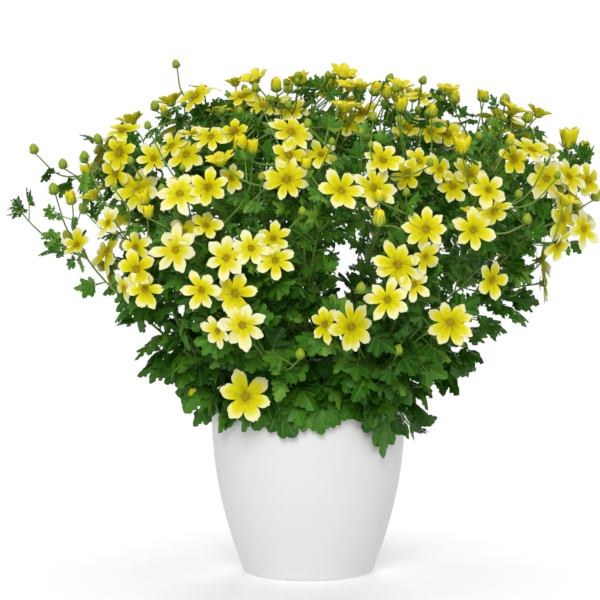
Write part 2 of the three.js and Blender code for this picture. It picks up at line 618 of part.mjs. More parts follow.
// A cut leaf on its stalk: lobes round its middle, drooping to the tip.
function leafSolid(leaf, grow = 0) {
  const { base, forward, side, normal, length, stalk, seed } = leaf;
  const middle = base.clone().addScaledVector(forward, stalk);
  const droop = 0.25 + 0.2 * draw(seed, 48);
  const at = (angle, share) => {
    const [f, s] = [share * Math.cos(radians(angle)), share * Math.sin(radians(angle))];
    return middle.clone().addScaledVector(forward, f * length).addScaledVector(side, s * length)
      .addScaledVector(normal, -droop * length * Math.max(0, f) ** 2 - 0.12 * length * Math.abs(s));
  };
  const lobes = (way, key) => LEAF_LOBES.map(([angle, share], i) =>
    at(way * angle, share * (0.9 + 0.25 * draw(seed, i, key)) + grow / length));
  const [right, left] = [lobes(-1, 49), lobes(1, 50)];
  const foot = base.clone();
  const outline = [at(0, 1 + grow / length), ...left, foot, ...right.reverse()];
  const half = LEAF_THICKNESS / 2 + grow;
  const [top, bottom] = [half, -half].map((high) => middle.clone().addScaledVector(normal, high));
  const solid = blade(outline, top, bottom);
  if (!leaf.stalkFrom) return solid;
  const stalkEnd = base.clone().addScaledVector(forward, STALK_OVERLAP);
  return solid.add(tube([leaf.stalkFrom, stalkEnd], [STALK_RADIUS * 0.7 + grow, STALK_RADIUS + grow]));
}

// A bloom: blunt petals round a raised middle, cone-shaped underneath. Each petal has a valley
// before it and two shoulders, with a rounded tip between them on a large bloom.
function bloomSolid(bloom, grow = 0) {
  const { centre, normal, radius, petals, spin, index } = bloom;
  const { side, over } = planeOf(normal);
  const at = (angle, out, high) => centre.clone().addScaledVector(side, out * Math.cos(angle))
    .addScaledVector(over, out * Math.sin(angle)).addScaledVector(normal, high);
  const half = Math.PI / petals;
  const large = radius > LARGE_BLOOM;
  const [wide, long] = large ? LARGE_SHOULDERS : SMALL_SHOULDERS;
  const outline = [];
  for (let k = 0; k < petals; k++) {
    const middle = spin + 2 * half * k;
    const size = radius * (0.94 + 0.12 * draw(index, k, 52)) + grow;
    const lift = petalLift(bloom, k);
    outline.push(at(middle - half, VALLEY_SHARE * radius + grow, 0.4));
    outline.push(at(middle - wide * half, long * size, lift));
    if (large) outline.push(at(middle, size, lift));
    outline.push(at(middle + wide * half, long * size, lift));
  }
  return blade(outline, at(0, 0, BLOOM_FRONT + grow), at(0, 0, -BLOOM_BACK - grow));
}

// A solid turned into a shape for a mesh.
function geometryOf(solid) {
  const { vertProperties, triVerts } = solid.getMesh();
  const geometry = new THREE.BufferGeometry();
  geometry.setAttribute("position", new THREE.BufferAttribute(vertProperties, 3));
  geometry.setIndex(new THREE.BufferAttribute(triVerts, 1));
  return geometry;
}

// A lathe solid from a profile that starts and ends on the axis, made a solid for cutting.
function latheSolid(profile) {
  const n = profile.length;
  const points = [vector(0, 0, profile[0].y)];
  for (let s = 0; s < POT_SIDES; s++) {
    const angle = (2 * Math.PI * s) / POT_SIDES;
    for (const { x, y } of profile.slice(1, -1))
      points.push(vector(x * Math.cos(angle), x * Math.sin(angle), y));
  }
  points.push(vector(0, 0, profile[n - 1].y));
  const rows = n - 2;
  const at = (s, i) => 1 + (s % POT_SIDES) * rows + i;
  const faces = [];
  for (let s = 0; s < POT_SIDES; s++) {
    faces.push([0, at(s + 1, 0), at(s, 0)]);
    for (let i = 0; i + 1 < rows; i++)
      faces.push([at(s, i), at(s + 1, i), at(s + 1, i + 1)], [at(s, i), at(s + 1, i + 1), at(s, i + 1)]);
    faces.push([at(s, rows - 1), at(s + 1, rows - 1), points.length - 1]);
  }
  return solidOf(points, faces);
}

const wallRadius = (z) => RIM_RADIUS - (RIM_RADIUS - FOOT_RADIUS) * (1 - z / POT_HEIGHT) ** BELL_POWER;

// The pot: bell-shaped wall, rounded foot and rim, open at the top.
function potSolid() {
  const point = (x, y) => new THREE.Vector2(x, y);
  const corner = [0, 90].map((a) => point(
    wallRadius(FOOT_CORNER) - FOOT_CORNER * (1 - Math.sin(radians(a))),
    FOOT_CORNER * (1 - Math.cos(radians(a)))));
  const outside = OUTER_HEIGHTS.map((z) => point(wallRadius(z), z));
  const rim = [point(RIM_RADIUS, POT_HEIGHT - RIM_CORNER), point(RIM_RADIUS - RIM_CORNER, POT_HEIGHT),
    point(RIM_RADIUS - POT_WALL, POT_HEIGHT)];
  const inside = [SOIL_TOP, ...INNER_HEIGHTS.toReversed(), POT_FLOOR]
    .map((z) => point(wallRadius(z) - POT_WALL, z));
  return latheSolid([point(0, 0), ...corner, ...outside, ...rim, ...inside, point(0, POT_FLOOR)]);
}

// The soil: fills the pot, flat on top, with a plain hole for each stem.
function soilSolid(stems) {
  const points = [];
  const faces = [];
  const ring = (radius, z, sides, x = 0, y = 0) => {
    const first = points.length;
    for (let s = 0; s < sides; s++) {
      const angle = (2 * Math.PI * s) / sides;
      points.push(vector(x + radius * Math.cos(angle), y + radius * Math.sin(angle), z));
    }
    return Array.from({ length: sides }, (_, s) => first + s);
  };
  const join = (low, high) => low.forEach((a, s) => {
    const n = (s + 1) % low.length;
    faces.push([a, low[n], high[n]], [a, high[n], high[s]]);
  });
  const heights = [POT_FLOOR, ...INNER_HEIGHTS, SOIL_TOP];
  const rings = heights.map((z, i) =>
    ring(wallRadius(z) - POT_WALL - FIT_GAP, i ? z : z + FIT_GAP, POT_SIDES));
  rings.slice(1).forEach((high, i) => join(rings[i], high));
  for (let s = 2; s < POT_SIDES; s++) faces.push([rings[0][0], rings[0][s], rings[0][s - 1]]);
  const holeRadius = (STEM_RADIUS + FIT_GAP) / Math.cos(Math.PI / HOLE_SIDES);
  const mouths = stems.map((stem) => {
    const { x, y } = fan(stem.phi, stem.theta, 0);
    const floor = ring(holeRadius, SOIL_TOP - HOLE_DEPTH - FIT_GAP, HOLE_SIDES, x, y);
    const mouth = ring(holeRadius, SOIL_TOP, HOLE_SIDES, x, y);
    join(mouth, floor);
    for (let s = 2; s < HOLE_SIDES; s++) faces.push([floor[0], floor[s - 1], floor[s]]);
    return mouth;
  });
  const flat = (loop) => loop.map((i) => new THREE.Vector2(points[i].x, points[i].y));
  const top = [...rings.at(-1), ...mouths.flat()];
  const holes = mouths.map(flat);
  THREE.ShapeUtils.triangulateShape(flat(rings.at(-1)), holes)
    .forEach((face) => faces.push(face.map((i) => top[i])));
  return solidOf(points, faces);
}

const boxesMeet = (a, b) => [0, 1, 2].every((i) => a.min[i] <= b.max[i] && b.min[i] <= a.max[i]);
const number = (i) => String(i + 1).padStart(2, "0");
const stemName = (i) => `leafy_stem_${number(i)}`;
const bloomsName = (i) => `blooms_${number(i)}`;

const stems = growStems();
const blooms = placeBlooms();
const buds = placeBuds(blooms);
const paths = growPaths(stems, blooms, buds);
const leaves = placeLeaves(stems, paths);

// Everything that is placed, each piece with its node, its look and its box.
const placed = [];
function place(node, look, solid, owner) {
  placed.push({ node, look, solid, owner, box: solid.boundingBox() });
}

place("pot", WHITE, potSolid());
place("soil", BROWN, soilSolid(stems));
blooms.forEach((bloom) => place(bloomsName(bloom.cluster), YELLOW, bloomSolid(bloom)));
paths.forEach((path) => place(stemName(path.stem), GREEN, pathTube(path), path));

// Rim leaves come first, then mostly those on the main stems.
function rank(leaf) {
  if (leaf.stalkFrom) return 0;
  return 1 + draw(leaf.seed, 61) + (leaf.path.kind === "stem" ? 0 : 0.35);
}

// Whether a leaf, a little thicker and wider than it is, meets only what it grows from.
function isClear(leaf) {
  const wider = leafSolid(leaf, LEAF_ROOM);
  const box = wider.boundingBox();
  return placed.every((other) => {
    if (other.owner && other.owner === leaf.path) return true;
    return !boxesMeet(box, other.box) || wider.intersect(other.solid).isEmpty();
  });
}

let kept = 0;
for (const leaf of leaves.toSorted((a, b) => rank(a) - rank(b))) {
  if (kept === LEAF_LIMIT) break;
  if (!isClear(leaf)) continue;
  place(stemName(leaf.stem), GREEN, leafSolid(leaf));
  kept += 1;
}

const root = new THREE.Group();
for (const [name, pieces] of Map.groupBy(placed, (piece) => piece.node)) {
  const body = pieces.map((piece) => piece.solid).reduce((whole, solid) => whole.add(solid));
  const mesh = new THREE.Mesh(geometryOf(body), new THREE.MeshStandardMaterial(pieces[0].look));
  mesh.name = name;
  root.add(mesh);
}

export default root;
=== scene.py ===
# Potted bidens: a white bell-shaped pot with a wide bush of thin stems, cut leaves, green buds
# and yellow blooms with cream petal tips. Shapes are worked out in millimetres, +Z up, and the
# front faces -Y.
import math

import bpy
import numpy as np
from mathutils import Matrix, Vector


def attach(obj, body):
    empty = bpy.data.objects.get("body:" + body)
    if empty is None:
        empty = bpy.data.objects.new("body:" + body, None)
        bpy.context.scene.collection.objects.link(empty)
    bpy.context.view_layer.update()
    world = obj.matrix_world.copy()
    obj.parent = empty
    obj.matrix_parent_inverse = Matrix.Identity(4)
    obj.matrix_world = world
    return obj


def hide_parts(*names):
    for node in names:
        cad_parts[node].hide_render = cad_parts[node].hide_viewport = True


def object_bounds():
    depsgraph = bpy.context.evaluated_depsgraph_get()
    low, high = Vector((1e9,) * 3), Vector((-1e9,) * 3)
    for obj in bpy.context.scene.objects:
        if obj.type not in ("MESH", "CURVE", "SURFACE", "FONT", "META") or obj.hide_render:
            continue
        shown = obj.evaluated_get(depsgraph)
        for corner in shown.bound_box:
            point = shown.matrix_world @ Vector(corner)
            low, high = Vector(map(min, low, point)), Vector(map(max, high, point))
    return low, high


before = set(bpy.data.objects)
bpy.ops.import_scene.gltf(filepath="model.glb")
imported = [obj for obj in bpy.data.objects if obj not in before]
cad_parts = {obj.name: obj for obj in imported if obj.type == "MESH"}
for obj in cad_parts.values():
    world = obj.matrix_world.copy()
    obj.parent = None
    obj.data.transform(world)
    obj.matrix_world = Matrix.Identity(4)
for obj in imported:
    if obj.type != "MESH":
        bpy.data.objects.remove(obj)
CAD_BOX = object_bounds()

MM = 0.001

# Pot and soil, as in the part
POT_HEIGHT = 145.0
RIM_RADIUS = 85.0
FOOT_RADIUS = 56.0
FOOT_CORNER = 6.0
BELL_POWER = 2.1
POT_WALL = 3.0
POT_FLOOR = 4.0
SOIL_TOP = 130.0
FIT_GAP = 0.3
HOLE_DEPTH = 24.0

# The bush: half its width at heights above the floor, and its depth as a share of its width
SPREAD = np.array([
    (128, 92), (150, 110), (175, 148), (211, 172), (250, 205), (290, 230),
    (330, 240), (370, 230), (396, 200), (414, 165), (427, 108), (438, 30)], float)
DEPTH_SHARE = 0.92
ROUNDNESS = 2.3
LEAN = 0.07

# Stems leave the soil upright and fan out along hyperbolas that share a ring of this radius
FAN_RADIUS = 58.0
RINGS = [dict(theta=14, limit=25, stems=3, turn=0.5), dict(theta=36, limit=47, stems=5, turn=0.15),
         dict(theta=58, limit=180, stems=7, turn=0.4)]
STEM_STEPS = 5
STEM_REACH = 0.72
STEM_TOP = 385.0
FORK_SHARE = 0.5
BLOOM_ROOM = 5.0
STEM_ROOM = 5.0
RIM_ROOM = 4.0
BENDS = 24
BEND_STEP = 5.0
SPIRAL = 2.4
FINE = 5

# Places are read off the front view: units right and down, of this size on the pot's axis plane
UNIT = 0.88
AXIS_U = 308.3
FLOOR_V = 570.0
DISTANCE = 2000.0
EYE_X = -7.0
EYE_Z = 350.0

# Clusters of blooms: depth as a share of the bush's, then for each bloom its place in the front
# view, its radius there, its petals and how far it looks up, in degrees
FRONT_CLUSTERS = [
    (0.2, [(195, 97, 20, 6, 50), (208, 87, 18, 5, 60)]),
    (0.2, [(243, 97, 18, 6, 55), (267, 108, 18, 6, 40), (281, 93, 18, 5, 65), (292, 111, 18, 6, 40)]),
    (0.75, [(122, 131, 18, 5, 50), (118, 157, 18, 6, 20), (107, 182, 20, 6, -20), (138, 191, 25, 7, 10)]),
    (0.72, [(235, 132, 15, 5, 20), (210, 138, 20, 7, 30), (182, 128, 17, 5, 60), (186, 155, 20, 6, 15),
            (170, 141, 18, 6, 30), (153, 159, 18, 6, 15)]),
    (0.93, [(180, 194, 25, 7, 10), (209, 187, 20, 6, 15)]),
    (0.88, [(291, 132, 24, 8, 35), (289, 155, 18, 5, 15), (287, 173, 23, 8, 10)]),
    (0.8, [(232, 178, 15, 6, 0)]),
    (0.96, [(176, 250, 26, 7, 5), (184, 226, 18, 5, 45), (206, 226, 17, 5, 30)]),
    (0.93, [(226, 258, 22, 6, -5), (253, 246, 20, 6, 5), (268, 240, 18, 6, 10), (275, 257, 20, 6, -10)]),
    (0.9, [(136, 247, 16, 5, 5), (138, 265, 20, 5, 10), (147, 283, 20, 6, -10), (124, 287, 16, 5, -10)]),
    (0.8, [(109, 223, 17, 5, 20)]),
    (0.3, [(77, 245, 16, 5, 30)]),
    (1.0, [(202, 290, 21, 6, 0), (240, 293, 23, 6, -10), (243, 325, 26, 7, -5), (217, 330, 19, 6, -10)]),
    (1.12, [(246, 397, 27, 6, -5)]),
    (-0.15, [(348, 101, 17, 5, 55), (355, 113, 17, 5, 40), (350, 127, 17, 5, 20)]),
    (0.75, [(321, 155, 18, 5, 15)]),
    (0.93, [(341, 191, 24, 6, 5), (378, 187, 25, 7, 5), (383, 156, 21, 7, 15)]),
    (0.72, [(407, 175, 17, 6, 10), (417, 162, 18, 6, 20), (442, 170, 18, 5, 15), (452, 185, 18, 6, 10),
            (472, 173, 20, 7, 10)]),
    (-0.3, [(420, 96, 18, 6, 65)]),
    (0.1, [(407, 129, 18, 5, 30), (434, 131, 18, 6, 25), (458, 131, 18, 5, 25)]),
    (0.62, [(514, 159, 18, 5, 10), (540, 143, 24, 6, 25), (547, 180, 22, 6, 0), (572, 173, 20, 6, 0),
            (596, 182, 18, 5, 5)]),
    (-0.2, [(510, 116, 18, 5, 60)]),
    (0.9, [(488, 190, 20, 5, 5), (492, 209, 20, 6, -5), (473, 230, 22, 6, 0)]),
    (0.95, [(426, 229, 23, 8, 0), (425, 258, 19, 5, -10), (399, 264, 27, 8, 0), (417, 286, 17, 6, -10),
            (386, 300, 23, 7, -10)]),
    (0.75, [(562, 219, 24, 6, 0), (583, 229, 20, 6, 0), (556, 246, 18, 5, -10)]),
    (0.85, [(491, 280, 20, 5, -10)]),
    (1.0, [(351, 327, 26, 8, -5), (325, 324, 19, 6, -5)]),
    (1.0, [(450, 322, 25, 8, -5)]),
]
# Clusters on the back and sides: degrees round from the front, height, and number of blooms
BACK_CLUSTERS = [
    (96, 330, 3), (84, 262, 2), (112, 392, 3), (126, 300, 3), (142, 372, 3),
    (150, 236, 2), (163, 318, 3), (178, 386, 3), (186, 262, 2), (202, 340, 3),
    (214, 212, 2), (224, 388, 3), (236, 300, 3), (254, 366, 3), (264, 270, 2)]
BACK_BLOOM_RADIUS = 20.0
# Front blooms look aside by this many degrees at this distance from the middle, give or take
LOOK_ASIDE = 32
LOOK_WIDTH = 250
LOOK_JITTER = 24
# Neighbours look apart, and their distances are shares of their radii
FACE_APART = 0.3
LEAST_APART = 0.62
TOUCH_MOST = 0.78
LARGE_BLOOM = 20.5
BLOOM_BACK = 1.6

# Buds in the front view: place, half length, how open from 0 to 1, and depth share
FRONT_BUDS = [
    (10, 196, 5, 0, 0.1), (176, 64, 5, 0, 0.3), (155, 106, 6, 0, 0.3), (253, 82, 7, 0, 0.3),
    (34, 149, 6, 0, 0.1), (63, 164, 6, 0, 0.2), (84, 158, 6, 0, 0.4), (98, 139, 6, 0.2, 0.3),
    (136, 146, 8, 0.7, 0.8), (54, 189, 7, 0, 0.2), (71, 199, 7, 0.6, 0.3), (147, 214, 8, 0.7, 1.0),
    (193, 395, 8, 0.5, 0.7), (306, 88, 7, 0, 0.4), (329, 84, 8, 0.6, 0.2), (351, 77, 8, 0.8, 0.1),
    (373, 80, 7, 0.2, 0.2), (387, 93, 7, 0.6, 0.4), (401, 106, 8, 0.6, 0.6), (401, 134, 6, 0, 0.9),
    (379, 219, 8, 0.5, 1.0), (432, 112, 7, 0.5, 0.6), (462, 146, 9, 0.9, 0.9),
    (478, 104, 7, 0.3, 0.3), (505, 100, 7, 0.4, 0.2), (528, 117, 7, 0.3, 0.4),
    (569, 141, 10, 0.9, 0.3), (583, 152, 8, 0.7, 0.2), (447, 242, 8, 0.6, 1.0),
    (448, 286, 9, 0.9, 1.0), (527, 219, 6, 0, 0.9), (361, 288, 6, 0, 1.05), (398, 350, 6, 0, 1.0),
    (417, 405, 8, 0.5, 1.0), (240, 146, 8, 0.7, 0.9), (270, 143, 8, 0.7, 0.9),
    (312, 273, 6, 0, 1.05), (300, 354, 6, 0, 1.0)]
BACK_BUDS = 10
BUD_SLIDES = [0, 0.08, -0.08, 0.16, -0.16, 0.24, -0.24]
BUD_ROOM = 13.0
BUD_LEAST_ROOM = 0.85

# Small buds and young blooms over the top: how many are tried, the least room round each, and the
# heights between which they lie. Above CROWN they spread over the whole top
MORE_BUDS = 190
MORE_BUD_ROOM = 8.0
MORE_BUD_TOP = 436
MORE_BUD_DROP = 130
CROWN = 385
# Draws below the first share stay closed, and above the second they open wide
CLOSED_SHARE = 0.5
RIPE_SHARE = 0.75
WIDE_OPEN = 1.2
MORE_BUD_LEAST_ROOM = 0.3

# Leaves turn by this angle from one to the next. Lengths are for high and low ones, between which
# they change from finely cut to broad
LEAF_ANGLE = 137.5
LEAF_LENGTHS = (25.0, 36.0)
FINE_ABOVE = 300.0
BROAD_BELOW = 150.0
# For each layer: how many leaves a stem, a bloom's branch and a bud's carry, then the first place
# and the stretch they take, as shares of a stem and of a branch
MORE_LEAVES = {"stem": 22, "bloom": 8, "bud": 2}
LEAF_LAYERS = [({"stem": 16, "bloom": 5, "bud": 2}, (0.3, 0.7), (0.12, 0.62)),
               (MORE_LEAVES, (0.22, 0.78), (0.08, 0.84)), (MORE_LEAVES, (0.22, 0.78), (0.08, 0.84))]
LAYER_SEED = 10000
SOIL_CLEARANCE = 18
BARE_BUD_STEMS = 0.4
RIM_LEAVES = 12
RIM_LEAF_LENGTH = 26.0
COLLAR_LEAVES = 64
COLLAR_LEAF_LENGTH = 20.0
TUFT_LEAVES = 7
TUFT_LEAF_LENGTH = 9.0
RIM_SEED, FRONT_SEED, TUFT_SEED, COLLAR_SEED = 3000, 5000, 6000, 7000
# Leaves that hang over the rim in front: the places of their feet and tips in the front view
FRONT_RIM_LEAVES = [
    (216, 398, 213, 414), (225, 406, 231, 430), (268, 404, 254, 428), (279, 408, 297, 441),
    (305, 411, 303, 436), (318, 411, 322, 436), (334, 410, 333, 430), (356, 404, 343, 418),
    (366, 406, 373, 430), (378, 411, 366, 430), (389, 414, 384, 457), (393, 420, 406, 432),
    (407, 418, 415, 409), (411, 424, 424, 418), (415, 429, 430, 431), (411, 428, 415, 441),
    (422, 424, 437, 418), (405, 424, 409, 439)]


# Vectors

def unit(v):
    """Vectors of any count, each divided by its own length."""
    return v / np.maximum(np.linalg.norm(v, axis=-1, keepdims=True), 1e-12)


def draw(a, b=0, c=0):
    """Repeatable draws from 0 to 1: the fraction of a large sine of three whole numbers."""
    wave = np.sin(np.asarray(a) * 12.9898 + b * 78.233 + c * 37.719) * 43758.5453
    return wave - np.floor(wave)


def mix(a, b, share):
    """The value at a share of the way from a to b."""
    return a + (b - a) * share


def gather(rows, keys):
    """The values of each key in a list of words, as one array over all rows."""
    found = [np.array([row[key] for row in rows]) for key in keys.split()]
    return found if len(found) > 1 else found[0]


# The bush's own coordinates

def spread_at(z):
    """Half the bush's width at a height, straight between the rows of SPREAD."""
    return np.interp(z, SPREAD[:, 0], SPREAD[:, 1])


def depth_at(x, z):
    """How deep the bush is in front of its middle: a super-ellipse across its width."""
    width = spread_at(z)
    across = np.minimum(0.97, abs(x - LEAN * (z - SOIL_TOP)) / width)
    return DEPTH_SHARE * width * (1 - across ** ROUNDNESS) ** (1 / ROUNDNESS)


def reach(p):
    """0 in the middle of the bush at this height, 1 on its outline."""
    width = spread_at(p[..., 2])
    x = abs(p[..., 0] - LEAN * (p[..., 2] - SOIL_TOP)) / width
    y = abs(p[..., 1]) / (width * DEPTH_SHARE)
    return (x ** ROUNDNESS + y ** ROUNDNESS) ** (1 / ROUNDNESS)


def seen_at(u, v, y):
    """The point at depth y on the line of sight through a place in the front view."""
    far = (DISTANCE + y) / DISTANCE
    x, z = (u - AXIS_U) * UNIT, (FLOOR_V - v) * UNIT
    return np.array([EYE_X + (x - EYE_X) * far, y, EYE_Z + (z - EYE_Z) * far])


def on_bush(u, v, share):
    """The point seen at a place in the front view, at a share of the bush's depth."""
    flat = seen_at(u, v, 0)
    return seen_at(u, v, -share * depth_at(flat[0], flat[2]))


def round_bush(turn, height, share):
    """The point at an angle round from the front, and out by a share of half the bush's width."""
    width = spread_at(height) * share
    return np.array([width * math.sin(turn) + LEAN * (height - SOIL_TOP),
                     -width * DEPTH_SHARE * math.cos(turn), height])


def lowness(z):
    """0 where leaves are finely cut, high on the plant, and 1 where they are broad."""
    return np.clip((FINE_ABOVE - z) / (FINE_ABOVE - BROAD_BELOW), 0, 1)


def fan(phi, theta, mu):
    """Phi round the pot, theta out from upright, mu along the hyperbola from the soil."""
    out = FAN_RADIUS * np.cosh(mu) * np.sin(theta)
    up = FAN_RADIUS * np.sinh(mu) * np.cos(theta)
    return np.array([out * np.cos(phi) + LEAN * up, out * np.sin(phi), SOIL_TOP + up])


def unfan(p):
    """The phi, theta and mu of a point in the fan."""
    up = p[2] - SOIL_TOP
    x = p[0] - LEAN * up
    out = math.hypot(x, p[1])
    near, far = math.hypot(out - FAN_RADIUS, up), math.hypot(out + FAN_RADIUS, up)
    slant = math.asin(min(1, max(0, (far - near) / (2 * FAN_RADIUS))))
    mu = math.acosh(max(1, (far + near) / (2 * FAN_RADIUS)))
    return math.atan2(p[1], x), math.pi - slant if up < 0 else slant, mu


def facing(turn, lift):
    """Which way a bloom or bud looks: degrees round from the front, and degrees up."""
    a, b = math.radians(turn), math.radians(lift)
    return np.array([math.sin(a) * math.cos(b), -math.cos(a) * math.cos(b), math.sin(b)])


def plane_of(normal):
    """Two directions that span the plane across a direction."""
    side = unit(np.cross([0.2, 0.1, 1.0], normal))
    return side, np.cross(normal, side)


def bearing(centre, normal, point):
    """The angle of a point round an axis, from the first way of plane_of."""
    side, over = plane_of(normal)
    return math.atan2(np.dot(point - centre, over), np.dot(point - centre, side))


# Blooms and buds

def petal_lift(bloom, k):
    """How far a petal's end rises out of its bloom's plane."""
    return 0.0 if k == 0 else bloom["radius"] * (0.14 * draw(bloom["index"], k, 53) - 0.05)


def petal_point(bloom, k, share):
    """The point at a share of a petal's length, as in the part."""
    side, over = plane_of(bloom["normal"])
    angle = bloom["spin"] + 2 * math.pi * k / bloom["cad_petals"]
    out = share * bloom["radius"]
    rise = 0.6 * (1 - share) + petal_lift(bloom, k) * share
    return (bloom["centre"] + side * out * math.cos(angle) + over * out * math.sin(angle)
            + bloom["normal"] * rise)


def meet(bloom, ray, near):
    """Slides a bloom along a ray until its first petal runs into the nearest petal of another."""
    apart = bloom["centre"] - near["centre"]
    apart = apart - near["normal"] * np.dot(apart, near["normal"])
    least = LEAST_APART * (bloom["radius"] + near["radius"])
    far = np.linalg.norm(apart)
    if far < least:
        bloom["centre"] = bloom["centre"] + apart * (least - far) / far
    gap = max(far, least)
    sector = 2 * math.pi / near["cad_petals"]
    k = math.floor((bearing(near["centre"], near["normal"], bloom["centre"]) - near["spin"]) / sector + 0.5)
    share = min(0.75, max(0.45, (gap - 0.75 * bloom["radius"]) / near["radius"]))
    touch = petal_point(near, k % near["cad_petals"], share)
    slide = np.dot(touch - bloom["centre"], bloom["normal"]) / np.dot(ray, bloom["normal"])
    bloom["centre"] = bloom["centre"] + ray * slide
    out = bloom["centre"] - touch
    most = TOUCH_MOST * bloom["radius"]
    if np.linalg.norm(out) > most:
        bloom["centre"] = touch + unit(out) * most
    bloom["spin"] = bearing(bloom["centre"], bloom["normal"], touch)


def place_blooms():
    """Front blooms at their places in the picture, and clusters of others round the back."""
    blooms = []
    eye = np.array([EYE_X, -DISTANCE, EYE_Z])
    for c, (depth, rows) in enumerate(FRONT_CLUSTERS):
        members = []
        for i, (u, v, size, petals, lift) in enumerate(rows):
            centre = on_bush(u, v, depth)
            radius = size * UNIT * (DISTANCE + centre[1]) / DISTANCE
            aside = LOOK_ASIDE * centre[0] / LOOK_WIDTH
            normal = facing(aside + LOOK_JITTER * (draw(c, i, 1) - 0.5), lift)
            bloom = dict(index=len(blooms) + i, centre=centre, normal=normal, radius=radius,
                         petals=petals, cad_petals=petals if radius > LARGE_BLOOM else 5,
                         spin=2 * math.pi * draw(c, i, 6), cluster=c)
            if members:
                near = min(members, key=lambda b: np.linalg.norm(b["centre"] - centre))
                bloom["normal"] = unit(normal + FACE_APART * unit(centre - near["centre"]))
                meet(bloom, unit(centre - eye), near)
            members.append(bloom)
        blooms += members
    for k, (round_from, height, count) in enumerate(BACK_CLUSTERS):
        c = len(FRONT_CLUSTERS) + k
        normal = facing(round_from, 5 + 45 * min(1, max(0, (height - 250) / 160)))
        side, over = plane_of(normal)
        middle = round_bush(math.radians(round_from), height, 0.86 + 0.08 * draw(c, 2))
        members = []
        for i in range(count):
            angle = 2 * math.pi * (i / count + draw(c, 3))
            gap = BACK_BLOOM_RADIUS * (0.8 if count == 2 else 0.92)
            out = side * math.cos(angle) + over * math.sin(angle)
            petals = 5 + math.floor(1.5 * draw(c, i, 5))
            bloom = dict(index=len(blooms) + i, centre=middle + out * gap,
                         normal=unit(normal + FACE_APART * out),
                         radius=BACK_BLOOM_RADIUS * (0.92 + 0.2 * draw(c, i, 4)),
                         petals=petals + (draw(c, i, 9) < 0.5), cad_petals=petals,
                         spin=2 * math.pi * draw(c, i, 6), cluster=c)
            if i:
                meet(bloom, normal, members[0])
            members.append(bloom)
        blooms += members
    return blooms


def clearance(points, skip=-1):
    """The least distance from points to the flat discs of all blooms but one."""
    to = points[None] - BLOOM_CENTRES[:, None]
    high = abs(np.sum(to * BLOOM_NORMALS[:, None], axis=-1))
    wide = np.sqrt(np.maximum(0, np.sum(to * to, axis=-1) - high * high)) - BLOOM_RADII[:, None]
    gap = np.hypot(high, np.maximum(0, wide))
    if skip >= 0:
        gap[skip] = np.inf
    return gap.min()


def place_buds():
    """Front buds at their places in the picture, slid off the blooms, and a few at the back."""
    buds = []
    for i, (u, v, half, opened, depth) in enumerate(FRONT_BUDS):
        places = [on_bush(u, v, depth + slide) for slide in BUD_SLIDES]
        free = [p for p in places if clearance(p[None]) > BUD_ROOM]
        centre = free[0] if free else places[0]
        normal = facing(40 * centre[0] / 250 + 40 * (draw(i, 11) - 0.5), 62 + 20 * draw(i, 12))
        buds.append(dict(centre=centre, normal=normal, half=half * UNIT, open=opened))
    for i in range(BACK_BUDS):
        angle = math.radians(80 + 200 * (i + draw(i, 13)) / BACK_BUDS)
        centre = round_bush(angle, 250 + 160 * draw(i, 14), 0.99)
        buds.append(dict(centre=centre, normal=facing(math.degrees(angle), 60), half=6.0,
                         open=0.8 * draw(i, 15)))
    return buds


# Stems and branches

def grow_stems():
    """The main stems of each ring, each as long as the bush leaves room for."""
    stems = []
    for r, ring in enumerate(RINGS):
        for i in range(ring["stems"]):
            phi = 2 * math.pi * (i + ring["turn"] + 0.5) / ring["stems"]
            theta = math.radians(ring["theta"] + 4 * (draw(r, i, 21) - 0.5))
            top = 0.6
            while reach(fan(phi, theta, top)) < STEM_REACH and fan(phi, theta, top)[2] < STEM_TOP:
                top += 0.05
            stems.append(dict(phi=phi, theta=theta, top=top, ring=r, slot=i))
    return stems


def stem_for(p):
    """The index of the stem whose cell of the fan holds a point."""
    phi, theta, _ = unfan(p)
    r = next(i for i, ring in enumerate(RINGS) if theta < math.radians(ring["limit"]))
    ring = RINGS[r]
    share = phi / (2 * math.pi) - ring["turn"] / ring["stems"]
    slot = math.floor((share - math.floor(share)) * ring["stems"])
    return next(i for i, s in enumerate(STEMS) if s["ring"] == r and s["slot"] == slot)


def along(knots):
    """FINE points on each straight line between knots, and the first knot."""
    share = (np.arange(1, FINE + 1) / FINE)[None, :, None]
    steps = knots[:-1, None] + (knots[1:] - knots[:-1])[:, None] * share
    return np.concatenate([knots[:1], steps.reshape(-1, 3)])


def bezier(a, b, c, d, steps):
    """Points along a cubic Bezier curve."""
    t = (np.arange(steps + 1) / steps)[:, None]
    return a * (1 - t) ** 3 + 3 * b * (1 - t) ** 2 * t + 3 * c * (1 - t) * t ** 2 + d * t ** 3


def off_rim(points):
    """The least distance from points to the pot's rim."""
    out = np.hypot(points[:, 0], points[:, 1]) - RIM_RADIUS + POT_WALL / 2
    return np.min(np.hypot(out, np.maximum(0, points[:, 2] - POT_HEIGHT)) - POT_WALL / 2)


